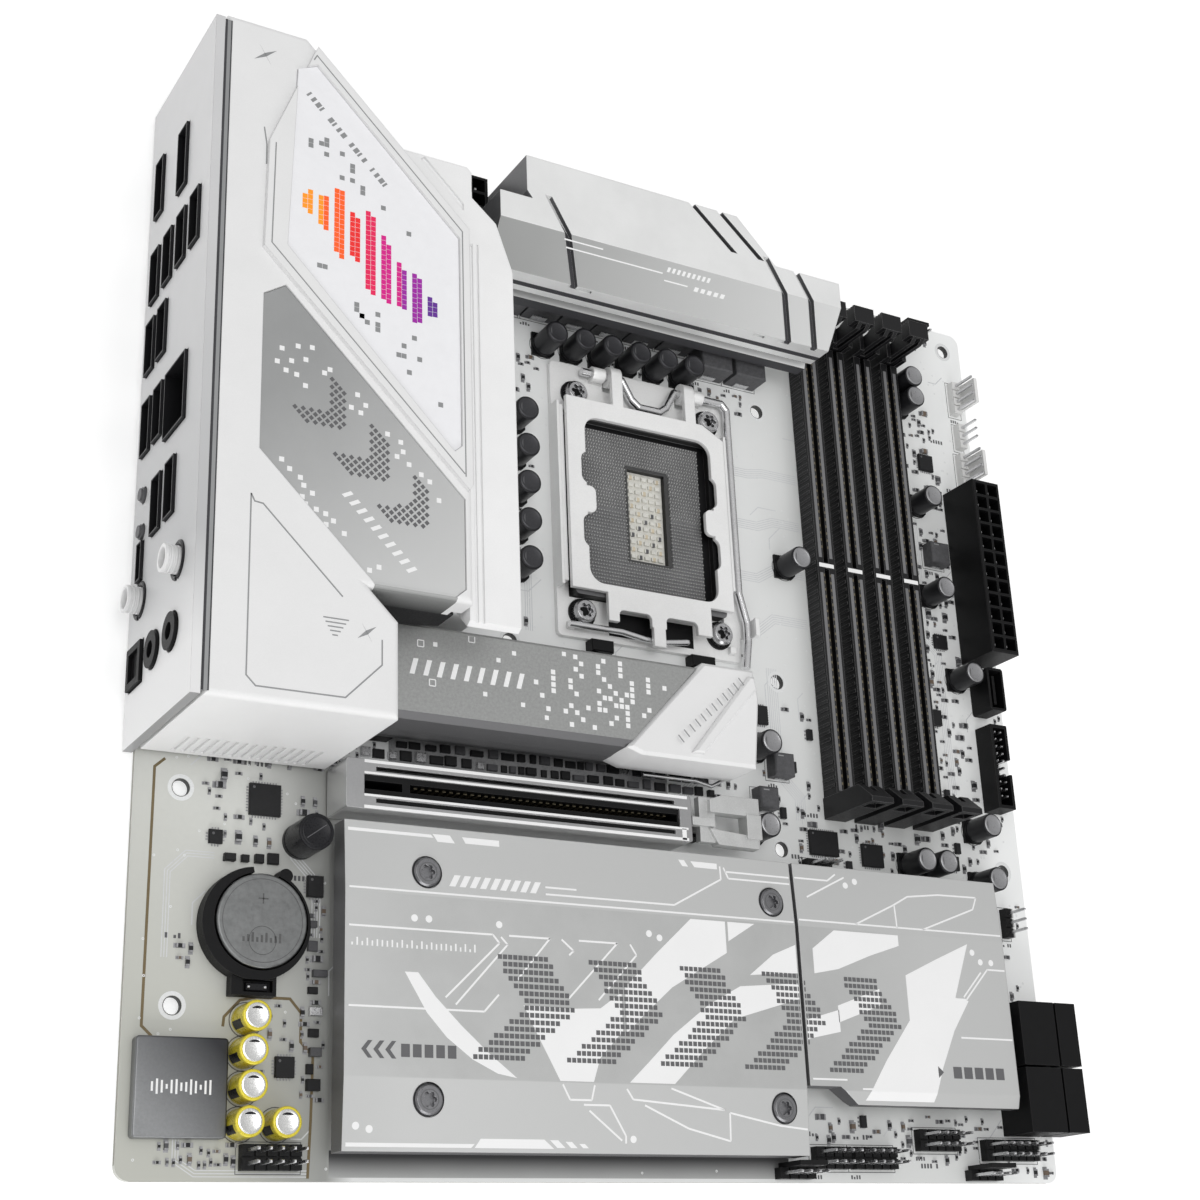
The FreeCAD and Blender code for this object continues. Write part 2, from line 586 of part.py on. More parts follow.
def make_pcie_armour():
    """Welded metal jacket round the slot: side walls, end caps and narrow top flanges."""
    t = 0.6
    outer = round_box(PCIE_X0, PCIE_Y0, 0.6, PCIE_X1, PCIE_Y1, PCIE_H, 0.5)
    inner = box(PCIE_X0 + t, PCIE_Y0 + t, 0, PCIE_X1 - t, PCIE_Y1 - t, PCIE_H - 0.7)
    mouth = box(PCIE_X0 + 4.2, PCIE_MID - 2.2, 5, PCIE_X1 - 3.2, PCIE_MID + 2.2, 20)
    lanes = []
    for side in (PCIE_Y0 + 1.5, PCIE_Y1 - 2.5):
        lanes.append(box(PCIE_X0 + 7.0, side, 5, PCIE_X1 - 4.6, side + 1.0, 20))
    feet = [box(PCIE_X0 + 14.0 * i + 4, PCIE_Y0 - 1, 0, PCIE_X0 + 14.0 * i + 14, PCIE_Y1 + 1, 1.6)
            for i in range(6)]
    return cut(outer, [inner, mouth] + lanes + feet)


def make_slot_contacts():
    """Spring contacts of the expansion slot and the memory slots, along both walls."""
    contacts = []
    for side in (-1, 1):
        y = PCIE_MID + side * 0.95
        y0, y1 = sorted((y, y - side * 0.25))
        for i in range(38):
            x = PCIE_X0 + 17.2 + 1.75 * i
            contacts.append(box(x, y0, 2.2, x + 0.8, y1, 8.6))
    for n in range(DIMM_COUNT):
        mid = DIMM_X + n * DIMM_PITCH + DIMM_W / 2
        for side in (-1, 1):
            x0, x1 = sorted((mid + side * 0.75, mid + side * 0.55))
            contacts.append(box(x0, 96.0, 1.8, x1, DIMM_KEY_Y - 3, 3.8))
            contacts.append(box(x0, DIMM_KEY_Y + 3, 1.8, x1, 218.0, 3.8))
    return contacts


def make_pcie_latch():
    """Forked lever at the slot's end, hung on the slot body's pin."""
    x = PCIE_X1 + 5.4
    hub = cyl_y(x, 3.2, PCIE_MID - 1.7, PCIE_MID + 1.7, 1.9)
    stalk = box(x - 1.9, PCIE_MID - 1.7, 3.2, x + 1.9, PCIE_MID + 1.7, 9.0)
    hook = box(x - 4.6, PCIE_MID - 1.0, 8.6, x + 1.9, PCIE_MID + 1.0, 10.6)
    web = box(x - 1.9, 77.2, 7.6, x + 2.6, 88.2, 9.6)
    upper = slab([(x + 0.4, 84.4), (x + 0.4, 87.4), (x + 4.0, 88.8), (x + 14.6, 88.8), (x + 14.6, 84.2)], 7.6, 11.0)
    lower = slab([(x + 0.4, 80.4), (x + 2.6, 76.6), (x + 14.4, 76.4), (x + 14.6, 79.0), (x + 11.0, 79.6)], 7.6, 10.6)
    end = box(x + 10.6, 78.6, 7.6, x + 14.8, 84.6, 11.4)
    bore = cyl_y(x, 3.2, 70, 95, 0.95)
    return fuse([hub, stalk, hook, web, upper, lower, end]).cut(bore)


# ---------------------------------------------------------------- processor socket
PLATE_Z0, PLATE_Z1 = 4.7, 5.9
WINDOW_X0, WINDOW_X1, WINDOW_MID = 109.3, 147.2, 163.3
EAR = 1.3                      # how far the window widens above and below its two rounded noses
AXIS_Y, AXIS_Z = 200.4, 3.1    # hinge axis of the socket's lever and load plate
LEVER_R = 1.05
ARM_X = 155.2
PLATE_ARMS = [(118.0, 121.2), (140.2, 143.4)]


def make_socket_housing():
    """Contact housing with a raised rim and a recess in the middle."""
    body = round_box(106.2, 138.2, 0, 150.6, 188.8, 3.9, 1.2)
    bed = box(109.0, 140.8, 2.1, 147.6, 186.4, 10)
    well = box(123.6, 150.6, 0.5, 134.8, 175.8, 10)
    return cut(body, [bed, well])


def make_socket_contacts():
    """Contact field, made as two joined combs round the middle recess."""
    rows = []
    for i in range(22):
        y = 141.8 + 2.0 * i
        if 149.6 < y < 176.0:
            rows.append(box(109.8, y, 2.1, 122.6, y + 1.0, 2.8))
            rows.append(box(135.8, y, 2.1, 146.8, y + 1.0, 2.8))
        else:
            rows.append(box(109.8, y, 2.1, 146.8, y + 1.0, 2.8))
    return rows


def make_ilm_frame():
    """Stamped frame screwed round the socket, with hinge loops and the lever's catch."""
    ring_outer = round_box(102.2, 127.6, 0, 156.0, 202.8, 1.4, 1.5)
    ring_inner = box(105.6, 138.0, -1, 151.2, 189.2, 3)
    rails = [box(102.2, 140.0, 1.4, 103.0, 190.0, 4.4), box(152.7, 146.0, 1.4, 153.5, 190.0, 4.4)]
    loops = [knuckle(113.4, 117.0), knuckle(144.0, 147.2)]
    feet = [box(113.4, AXIS_Y - 1.9, 1.0, 117.0, AXIS_Y + 1.9, AXIS_Z - 1.2),
            box(144.0, AXIS_Y - 1.9, 1.0, 147.2, AXIS_Y + 1.9, AXIS_Z - 1.2)]
    catch_post = box(156.0, 134.2, 0, 159.4, 139.0, 1.4)
    catch_wall = box(158.4, 134.2, 1.4, 159.4, 139.0, 5.6)
    catch_lip = prism_y([(158.4, 4.2), (158.15, 4.8), (158.15, 5.6), (158.4, 5.6)], 134.2, 139.0)
    lips = [box(104.6, 129.4, 1.4, 106.4, 131.2, 2.8), box(151.8, 129.4, 1.4, 153.6, 131.2, 2.8)]
    frame = fuse([ring_outer.cut(ring_inner)] + rails + loops + feet + [catch_post, catch_wall, catch_lip] + lips)
    holes = [cyl(x, y, -1, 3, ILM_SCREW_R + 0.1) for x, y in ILM_SCREWS]
    holes += [box(x0 - 0.3, 197.0, -1, x1 + 0.3, 204.0, 3) for x0, x1 in PLATE_ARMS]
    return cut(frame, holes)


def knuckle(x0, x1):
    """Loop round the lever wire with a running fit."""
    return cyl_x(AXIS_Y, AXIS_Z, x0, x1, 1.95).cut(cyl_x(AXIS_Y, AXIS_Z, x0 - 1, x1 + 1, LEVER_R + 0.06))


def make_load_plate():
    """Pressed steel plate with the processor window, a nose at the free end and two hinge loops."""
    outline = [(114.2, 131.6), (114.2, 139.0), (104.2, 139.0), (104.2, 191.2), (113.2, 191.2), (145.2, 191.2),
               (151.6, 187.6), (151.6, 139.4), (144.4, 139.4), (144.4, 131.6)]
    plate = slab(outline, PLATE_Z0, PLATE_Z1)
    window = round_box(WINDOW_X0, 141.0, 0, WINDOW_X1, 186.3, 10, 4.0)
    window = fuse([window] + [round_box(WINDOW_X0 - EAR, y - 4.4, 0, WINDOW_X1 + EAR, y + 4.4, 10, 2.2)
                              for y in (WINDOW_MID - 8.6, WINDOW_MID + 8.6)])
    cheeks = [round_box(x0, WINDOW_MID - 3.6, PLATE_Z0, x1, WINDOW_MID + 3.6, PLATE_Z1, 1.7)
              for x0, x1 in ((WINDOW_X0 - 2.0, WINDOW_X0 + 2.6), (WINDOW_X1 - 2.6, WINDOW_X1 + 2.0))]
    nose = box(127.0, 126.7, PLATE_Z0, 130.4, 132.0, PLATE_Z1)
    openings = [round_box(117.2, 130.0, 0, 126.6, 134.8, 10, 1.4), round_box(130.8, 130.0, 0, 140.2, 134.8, 10, 1.4)]
    plate = fuse([cut(plate, [window] + openings), nose] + cheeks)
    arms = []
    for x0, x1 in PLATE_ARMS:
        arms.append(box(x0, 190.0, PLATE_Z0, x1, AXIS_Y - 0.4, PLATE_Z1))
        arms.append(cyl_x(AXIS_Y, AXIS_Z, x0, x1, 2.8))
    bore = cyl_x(AXIS_Y, AXIS_Z, 100, 160, LEVER_R + 0.06)
    return fuse([plate] + arms).cut(bore)


def make_load_lever():
    """One bent wire: hinge run with a U-shaped crank, then the long arm with a bent tip."""
    z = AXIS_Z
    points = [V(110.6, AXIS_Y, z), V(122.6, AXIS_Y, z), V(125.4, 195.4, z), V(127.6, 193.7, z), V(133.8, 193.7, z),
              V(136.0, 195.4, z), V(138.8, AXIS_Y, z), V(153.6, AXIS_Y, z), V(ARM_X, 198.6, z),
              V(ARM_X, 146.0, z), V(157.0, 138.0, z + 0.2), V(157.0, 133.0, z + 0.2), V(155.6, 125.4, z + 0.6)]
    return rod(points, LEVER_R)


def make_retention_wire():
    """Fixed wire across the free end that the load plate's nose bears on."""
    z = 3.6
    points = [V(104.2, 130.0, z), V(119.0, 130.0, z), V(125.6, 129.0, z), V(131.8, 129.0, z),
              V(138.0, 130.0, z), V(153.8, 130.0, z)]
    return rod(points, 0.8)


def make_ilm_screws():
    screws = []
    for x, y in ILM_SCREWS:
        head = chamfer_top(cyl(x, y, 1.4, 4.2, 3.0), 0.5)
        shank = cyl(x, y, -BOARD_T - 1.9, 1.4, ILM_SCREW_R)
        screws.append(fuse([head, shank]).cut(star_recess(x, y, 2.8, 6, 1.9)))
    return screws


def make_ilm_backplate():
    """Steel stiffener under the board with a window for the board's own parts."""
    outer = round_box(102.5, 128.0, -BOARD_T - 2.0, 155.5, 200.0, -BOARD_T, 3.0)
    window = round_box(112.0, 146.0, -10, 146.0, 182.0, 0, 3.0)
    holes = [cyl(x, y, -10, 0, ILM_SCREW_R) for x, y in ILM_SCREWS]
    return cut(outer, [window] + holes)


# ---------------------------------------------------------------- memory slots
DIMM_Y0, DIMM_Y1 = 89.0, 230.2
TOWER_Y0 = 224.4
PIVOT_Y, PIVOT_Z = 227.6, 2.6


def dimm_body(x0):
    mid = x0 + DIMM_W / 2
    rail = box(x0, 91.0, 0, x0 + DIMM_W, TOWER_Y0, DIMM_H)
    tower = box(x0 - 0.4, DIMM_Y0, 0, x0 + DIMM_W + 0.4, 94.6, LATCH_TOP)
    cheeks = [box(x0 - 0.4, TOWER_Y0, 0, x0 + 0.9, DIMM_Y1, 9.6),
              box(x0 + DIMM_W - 0.9, TOWER_Y0, 0, x0 + DIMM_W + 0.4, DIMM_Y1, 9.6)]
    floor = box(x0, TOWER_Y0 - 0.1, 0, x0 + DIMM_W, DIMM_Y1, 0.35)
    grooves = [box(mid - 0.75, 93.0, 1.5, mid + 0.75, DIMM_KEY_Y - 0.8, 9),
               box(mid - 0.75, DIMM_KEY_Y + 0.8, 1.5, mid + 0.75, 230, 9),
               box(mid - 0.75, 219.0, 0.6, mid + 0.75, 230, 9),
               box(mid - 0.85, 92.6, 1.5, mid + 0.85, 95, 30),
               box(mid - 2.2, 88.0, 14.0, mid + 2.2, 90.2, 18.4)]
    slope = prism_x([(88, 21), (88, 20.0), (90.4, 20.0), (94.6, 15.0), (95, 21)], x0 - 1, x0 + DIMM_W + 1)
    bores = [cyl_x(PIVOT_Y, PIVOT_Z, x0 - 1, x0 + DIMM_W + 1, 0.85)]
    return cut(fuse([rail, tower, floor] + cheeks), grooves + [slope] + bores)


def make_dimm_bodies():
    return [dimm_body(DIMM_X + n * DIMM_PITCH) for n in range(DIMM_COUNT)]


def make_dimm_latch(n):
    """Swinging latch: pivot pins, a guide for the module's edge, a toe and a ribbed thumb pad."""
    x0 = DIMM_X + n * DIMM_PITCH
    mid = x0 + DIMM_W / 2
    stem = prism_x([(225.0, 1.6), (224.9, 18.0), (226.2, LATCH_TOP), (231.1, LATCH_TOP), (231.1, 16.4),
                    (229.0, 11.0), (229.2, 2.2), (228.4, 0.8), (226.4, 0.8)], x0 + 1.0, x0 + DIMM_W - 1.0)
    pad = prism_x([(226.2, 16.4), (226.2, LATCH_TOP), (231.1, LATCH_TOP), (231.1, 16.4)],
                  x0 - 0.4, x0 + DIMM_W + 0.4)
    toe = box(mid - 0.6, 222.0, 0.9, mid + 0.6, 226.6, 1.7)
    axle = cyl_x(PIVOT_Y, PIVOT_Z, x0 - 0.3, x0 + DIMM_W + 0.3, 0.8)
    guide = box(mid - 0.75, 224.0, 6.0, mid + 0.75, 226.0, 30)
    ribs = [box(x0 - 1, 230.6, 17.0 + 0.9 * i, x0 + DIMM_W + 1, 232, 17.4 + 0.9 * i) for i in range(3)]
    return cut(fuse([stem, pad, toe, axle]), [guide] + ribs)


# ---------------------------------------------------------------- power and data connectors
ATX = (231.3, 138.1, 240.9, 189.7, 13.0)
EPS_BLOCKS = [(42.2, 234.0), (61.6, 234.0)]
EPS_COLS, CELL = 4, 4.2


def power_cells(x0, y0, along_y, cols):
    """Centres of a two-row cell block."""
    cells = []
    for i in range(cols):
        for j in range(2):
            u = 0.6 + CELL * (i + 0.5)
            v = 0.6 + CELL * (j + 0.5)
            cells.append((x0 + v, y0 + u) if along_y else (x0 + u, y0 + v))
    return cells


def power_block(x0, y0, x1, y1, h, along_y, cols):
    body = box(x0, y0, 0, x1, y1, h)
    wells = [box(x - 1.75, y - 1.75, 3.0, x + 1.75, y + 1.75, h + 1) for x, y in power_cells(x0, y0, along_y, cols)]
    body = cut(chamfer_top(body, 0.3), wells)
    mid_x, mid_y = (x0 + x1) / 2, (y0 + y1) / 2
    if along_y:
        catch = prism_y([(x1, 5.0), (x1 + 1.5, 9.4), (x1 + 1.5, 10.6), (x1, 10.6)], mid_y - 3, mid_y + 3)
    else:
        catch = prism_x([(y0, 5.0), (y0 - 1.4, 9.4), (y0 - 1.4, 10.6), (y0, 10.6)], mid_x - 3, mid_x + 3)
    return fuse([body, catch])


def make_atx24_connector():
    return power_block(*ATX, True, 12)


def make_eps_connectors():
    width = 1.2 + CELL * EPS_COLS
    return [power_block(x, y, x + width, y + 9.6, 13.0, False, EPS_COLS) for x, y in EPS_BLOCKS]


def make_power_pins():
    cells = power_cells(ATX[0], ATX[1], True, 12)
    for x, y in EPS_BLOCKS:
        cells += power_cells(x, y, False, EPS_COLS)
    return [box(x - 0.55, y - 0.55, 3.0, x + 0.55, y + 0.55, 10.5) for x, y in cells]


USB3 = (233.4, 96.0, 239.2, 119.5, 6.2)


def make_usb3_header():
    x0, y0, x1, y1, h = USB3
    shell = box(x0, y0, 0, x1, y1, h)
    return cut(shell, [box(x0 + 0.8, y0 + 0.9, 1.4, x1 - 0.8, y1 - 0.9, 10),
                       box(x1 - 1, 105.6, 1.4, x1 + 1, 109.8, 10)])


def make_usbc_header():
    """Metal shelled front panel socket."""
    shell = round_box(233.2, 123.2, 0, 238.8, 135.4, 7.6, 0.8)
    return cut(shell, [box(233.8, 123.9, 1.4, 238.2, 134.7, 10)]).fuse(box(235.6, 125.2, 1.3, 236.4, 133.4, 6.6))


SATA_Y = [11.3, 27.8]
SATA_W, SATA_H = 15.9, 11.0


def make_sata_ports():
    """Two stacked right-angle drive sockets that reach past the board's edge."""
    ports = []
    for y in SATA_Y:
        rear = box(227.6, y, 0, 239.2, y + SATA_W, SATA_H)
        neck = box(239.2, y + 0.6, 0, 239.9, y + SATA_W - 0.6, SATA_H - 0.8)
        mouth = box(239.9, y, 0.2, 246.6, y + SATA_W, SATA_H)
        wells = []
        for z in (1.2, 6.3):
            wells.append(box(241.0, y + 1.6, z, 247, y + SATA_W - 1.6, z + 1.3))
            wells.append(box(241.0, y + 1.6, z + 2.1, 247, y + SATA_W - 1.6, z + 3.6))
        ports.append(cut(fuse([rear, neck, mouth]), wells))
    return ports


PIN_HEADERS = [(25.1, 2.0, 5, 2, 2.5), (167.0, 3.0, 4, 2, 2.5), (178.4, 3.0, 5, 2, 2.5), (198.6, 7.4, 5, 2, 2.5),
               (219.4, 5.2, 7, 2, 2.5), (171.0, 75.3, 3, 1, 2.5), (234.6, 62.0, 1, 3, 2.5), (238.2, 205.4, 1, 3, 2.5)]
FAN_HEADERS = [(156.2, 0.7, 4, 1), (213.6, 0.4, 4, 1), (216.4, 236.2, 4, 1), (237.6, 216.4, 1, 4), (237.6, 193.2, 1, 4)]
USB3_PINS = [(234.3, 98.6, 2, 10)]


def header_body(x, y, cols, rows, h):
    """Pin strip with small bevels between the pins."""
    body = box(x, y, 0, x + PIN * cols, y + PIN * rows, h)
    nicks = []
    for i in range(1, cols):
        nicks.append(box(x + PIN * i - 0.2, y - 1, h - 0.5, x + PIN * i + 0.2, y + 10, h + 1))
    for j in range(1, rows):
        nicks.append(box(x - 1, y + PIN * j - 0.2, h - 0.5, x + 20, y + PIN * j + 0.2, h + 1))
    return cut(body, nicks) if nicks else body


def make_pin_headers():
    return [header_body(*spec) for spec in PIN_HEADERS]


def make_fan_headers():
    """Four-pin headers with an upright key wall."""
    headers = []
    for x, y, cols, rows in FAN_HEADERS:
        base = header_body(x, y, cols, rows, 2.5)
        if cols > rows:
            wall = box(x + 1.2, y + PIN, 0, x + PIN * cols - 1.2, y + PIN + 1.1, 9.0)
        else:
            wall = box(x + PIN, y + 1.2, 0, x + PIN + 1.1, y + PIN * rows - 1.2, 9.0)
        headers.append(fuse([base, wall]))
    return headers


def make_header_pins():
    pins = []
    sets = [(x, y, c, r, PIN, 2.5, 8.4) for x, y, c, r, h in PIN_HEADERS]
    sets += [(x, y, c, r, PIN, 2.5, 9.4) for x, y, c, r in FAN_HEADERS]
    sets += [(x, y, c, r, 2.0, 1.4, 5.4) for x, y, c, r in USB3_PINS]
    for x, y, cols, rows, pitch, z0, z1 in sets:
        for i in range(cols):
            for j in range(rows):
                px, py = x + pitch * (i + 0.5), y + pitch * (j + 0.5)
                pins.append(box(px - 0.32, py - 0.32, z0, px + 0.32, py + 0.32, z1))
    return pins


# ---------------------------------------------------------------- battery
def make_battery_holder():
    """Round holder whose wall is thicker on its rear side, with a gap and a lug at the far end."""
    x, y = COIN
    pocket = cyl(x, y, -1, 5, COIN_R + 0.35)
    wall = cyl(x - 1.0, y - 0.5, 0, 3.8, 11.9).cut(pocket)
    gap = slab([(x - 1.0, y + 6), (x + 2.8, y + 6), (x + 4.6, y + 14), (x - 2.6, y + 14)], -1, 5)
    lug = cyl(x + 5.2, y + 10.0, 0, 3.8, 1.5).cut(pocket)
    tab = box(x - 6.0, y - 15.4, 0, x + 3.8, y - 9.6, 3.0).cut(pocket)
    recess = box(x - 3.6, y - 14.7, 1.2, x + 3.0, y - 12.2, 5)
    rim = cut(fuse([wall, lug, tab]), [gap, recess])
    return fuse([rim, cyl(x, y, 0, 1.0, COIN_R + 0.35)])


def make_coin_cell():
    x, y = COIN
    cup = fillet_top(cyl(x, y, 1.7, 4.4, COIN_R), 0.5)
    lower = cyl(x, y, 1.0, 1.7, COIN_R - 1.2)
    return fuse([cup, lower])


# ---------------------------------------------------------------- thermal pads
def make_thermal_pads():
    """Soft pads between hot parts and their heatsinks."""
    pads = [box(61.2, 123.0, CHOKE_TOP, 70.8, 209.6, SINK_BASE),
            box(49.6, 123.0, MOSFET_H, 55.6, 206.0, MOSFET_H + 1.0),
            box(84.5, 214.2, CHOKE_TOP, 145.1, 223.8, SINK_BASE),
            box(85.2, 226.4, MOSFET_H, 143.0, 231.6, MOSFET_H + 1.0),
            box(CHIPSET[0] - 6, CHIPSET[1] - 5, 1.8, CHIPSET[0] + 6, CHIPSET[1] + 5, 2.6),
            box(66.0, 31.0, 5.4, 136.0, 49.0, 6.4),
            box(66.0, 9.4, 5.4, 136.0, 24.6, 6.4)]
    return pads


# ---------------------------------------------------------------- write every piece
PIECES = {
    "pcb": make_pcb,
    "io_plate": make_io_plate,
    "rear_port_shells": make_rear_port_shells,
    "rear_port_inserts": make_rear_port_inserts,
    "audio_jacks": make_audio_jacks,
    "antenna_posts": make_antenna_posts,
    "io_shroud": make_io_shroud,
    "shroud_metal_plate": make_shroud_metal_plate,
    "shroud_light_panel": make_shroud_light_panel,
    "vrm_heatsink_left": make_vrm_heatsink_left,
    "vrm_heatsink_top": make_vrm_heatsink_top,
    "vrm_chokes": make_vrm_chokes,
    "vrm_mosfets": make_vrm_mosfets,
    "thermal_pads": make_thermal_pads,
    "polymer_caps": make_polymer_caps,
    "audio_caps": make_audio_caps,
    "bulk_cap": make_bulk_cap,
    "chips": make_chips,
    "audio_shield": make_audio_shield,
    "chipset": make_chipset,
    "chipset_heatsink": make_chipset_heatsink,
    "m2_lower_heatsink": make_m2_lower_heatsink,
    "cover_screws": make_cover_screws,
    "m2_sockets": make_m2_sockets,
    "m2_standoffs": make_m2_standoffs,
    "m2_retainer": make_m2_retainer,
    "m2_upper_heatsink": make_m2_upper_heatsink,
    "m2_release_latch": make_m2_release_latch,
    "latch_spring": make_latch_spring,
    "pcie_body": make_pcie_body,
    "pcie_armour": make_pcie_armour,
    "slot_contacts": make_slot_contacts,
    "pcie_latch": make_pcie_latch,
    "socket_housing": make_socket_housing,
    "socket_contacts": make_socket_contacts,
    "ilm_frame": make_ilm_frame,
    "load_plate": make_load_plate,
    "load_lever": make_load_lever,
    "retention_wire": make_retention_wire,
    "ilm_screws": make_ilm_screws,
    "ilm_backplate": make_ilm_backplate,
    "dimm_bodies": make_dimm_bodies,
    "atx24_connector": make_atx24_connector,
    "eps_connectors": make_eps_connectors,
    "power_pins": make_power_pins,
    "usb3_header": make_usb3_header,
    "usbc_header": make_usbc_header,
    "sata_ports": make_sata_ports,
    "pin_headers": make_pin_headers,
    "fan_headers": make_fan_headers,
    "header_pins": make_header_pins,
    "battery_holder": make_battery_holder,
    "coin_cell": make_coin_cell,
}

os.makedirs("parts", exist_ok=True)
for piece_name, maker in PIECES.items():
    save(piece_name, maker())
for button_name in BUTTONS:
    save(button_name, make_button(button_name))
for slot in range(DIMM_COUNT):
    save("dimm_latch_" + str(slot + 1), make_dimm_latch(slot))
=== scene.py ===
"""Looks of the motherboard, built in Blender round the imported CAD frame.

Lengths below are board millimetres: X and Y run from the circuit board's lowest corner and Z from its top
face, all read from the frame.  They turn into frame metres in one place, place().
"""
import bpy
import math
import random
from mathutils import Matrix, Vector


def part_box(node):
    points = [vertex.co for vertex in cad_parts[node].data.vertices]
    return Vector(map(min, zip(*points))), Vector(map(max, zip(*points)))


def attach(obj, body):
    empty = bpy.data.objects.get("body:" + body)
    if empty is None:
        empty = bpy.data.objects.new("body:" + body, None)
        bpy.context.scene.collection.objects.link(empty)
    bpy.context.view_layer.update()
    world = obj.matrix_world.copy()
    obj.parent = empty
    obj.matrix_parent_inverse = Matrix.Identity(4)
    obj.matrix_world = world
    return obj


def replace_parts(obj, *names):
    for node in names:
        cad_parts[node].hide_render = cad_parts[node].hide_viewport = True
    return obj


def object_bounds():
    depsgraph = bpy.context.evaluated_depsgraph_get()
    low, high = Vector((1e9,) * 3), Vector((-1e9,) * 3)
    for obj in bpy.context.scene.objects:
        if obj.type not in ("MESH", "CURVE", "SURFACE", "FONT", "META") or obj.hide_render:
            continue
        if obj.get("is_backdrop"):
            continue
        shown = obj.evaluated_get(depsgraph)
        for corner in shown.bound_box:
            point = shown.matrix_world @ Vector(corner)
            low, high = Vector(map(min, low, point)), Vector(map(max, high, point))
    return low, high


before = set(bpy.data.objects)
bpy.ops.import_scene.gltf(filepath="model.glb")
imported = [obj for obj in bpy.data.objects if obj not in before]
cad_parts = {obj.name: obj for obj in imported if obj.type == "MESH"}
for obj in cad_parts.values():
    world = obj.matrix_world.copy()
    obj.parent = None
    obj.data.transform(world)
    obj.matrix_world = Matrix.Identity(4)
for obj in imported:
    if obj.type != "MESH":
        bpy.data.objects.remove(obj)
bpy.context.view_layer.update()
PCB_LOW, PCB_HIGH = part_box("pcb")
MM = 0.001
BOARD = "board"                 # the CAD body that fixed pieces ride on
PRINT_T = 0.03                  # thickness of ink and foil prints
INK = 0.05                      # how deep a print is sunk into its face
BOARD_SIDE = 243.84
BOARD_T = 1.6
RIM = 0.8                       # strip along the board's edge that stays bare
MOUNT_HOLES = [(10.16, 34.29), (10.16, 80.01), (33.02, 237.49), (165.1, 80.01), (237.49, 80.01),
    (165.1, 237.49), (237.49, 237.49)]
SOCKET_X, SOCKET_Y, COOLER_HALF = 128.6, 163.56, 39
COOLER_HOLES = [(SOCKET_X + sx * COOLER_HALF, SOCKET_Y + sy * COOLER_HALF) for sx in (-1, 1)
    for sy in (-1, 1)]
FIELD = (109.9, 141.9, 145.4, 185)    # the socket's contact field
WELL = (123, 150, 135.4, 176.4)     # the recess in its middle
DIMM_KEY_Y = 157.6
CREASE_LOW, CREASE_HIGH = 20.1, 58.6    # where the lower covers' faces bend
COVER_DIP = 0.9
SHROUD_TOP = 41.5
SLOPE_Y0, SLOPE_Y1 = 212, 221.6         # where the top heatsink's face slopes


def place(x, y, z):
    """Board millimetres to frame metres."""
    return (PCB_LOW.x + x * MM, PCB_LOW.y + y * MM, PCB_HIGH.z + z * MM)


def local(corner):
    """Frame metres to board millimetres."""
    return ((corner.x - PCB_LOW.x) / MM, (corner.y - PCB_LOW.y) / MM, (corner.z - PCB_HIGH.z) / MM)


def span(name):
    """A CAD node's low and high corners in board millimetres."""
    low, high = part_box(name)
    return local(low), local(high)


def islands(*names):
    """Low and high corners, in board millimetres, of each separate solid in CAD nodes."""
    found = []
    for name in names:
        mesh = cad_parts[name].data
        keys = [tuple(round(c * 1e6) for c in v.co) for v in mesh.vertices]
        root = {}

        def find(a):
            while root.setdefault(a, a) != a:
                root[a] = root[root[a]]
                a = root[a]
            return a

        for poly in mesh.polygons:
            first = find(keys[poly.vertices[0]])
            for v in poly.vertices[1:]:
                root[find(keys[v])] = first
        groups = {}
        for key in set(keys):
            groups.setdefault(find(key), []).append(key)
        corners = [[Vector([pick(m[i] for m in group) * 1e-6 for i in range(3)]) for pick in (min, max)]
            for group in groups.values()]
        found += sorted((local(low), local(high)) for low, high in corners)
    return found


def rounds(*names):
    """Centre, radius and top of each round solid in CAD nodes."""
    return [((a[0] + b[0]) / 2, (a[1] + b[1]) / 2, (b[0] - a[0]) / 2, b[2]) for a, b in islands(*names)]


# ---------------- materials
def node(tree, kind, **values):
    """Add a shader node and set its inputs by name."""
    made = tree.nodes.new(kind)
    for key, value in values.items():
        made.inputs[key.replace("_", " ")].default_value = value
    return made


def blended(tree, color_out, factor, color):
    """Mix a second colour in by a factor socket."""
    mix = tree.nodes.new("ShaderNodeMix")
    mix.data_type = "RGBA"
    mix.inputs["B"].default_value = (*color, 1)
    tree.links.new(factor, mix.inputs["Factor"])
    tree.links.new(color_out, mix.inputs["A"])
    return mix.outputs["Result"]


def dotted(tree, vector_out, direction):
    """Dot product of a vector socket with a fixed direction or another socket."""
    dot = tree.nodes.new("ShaderNodeVectorMath")
    dot.operation = "DOT_PRODUCT"
    tree.links.new(vector_out, dot.inputs[0])
    if isinstance(direction, tuple):
        dot.inputs[1].default_value = direction
    else:
        tree.links.new(direction, dot.inputs[1])
    return dot.outputs["Value"]


def ramped(tree, value_out, **limits):
    """Map range of a value socket."""
    ramp = node(tree, "ShaderNodeMapRange", **limits)
    tree.links.new(value_out, ramp.inputs["Value"])
    return ramp.outputs["Result"]


def faded(tree, color_out, coords, direction, start, end, color):
    """Blend to a colour between two distances along a direction."""
    origin = Vector((PCB_LOW.x, PCB_LOW.y, PCB_HIGH.z)).dot(Vector(direction))
    factor = ramped(tree, dotted(tree, coords.outputs["Object"], direction), From_Min=origin + start * MM,
        From_Max=origin + end * MM)
    return blended(tree, color_out, factor, color)


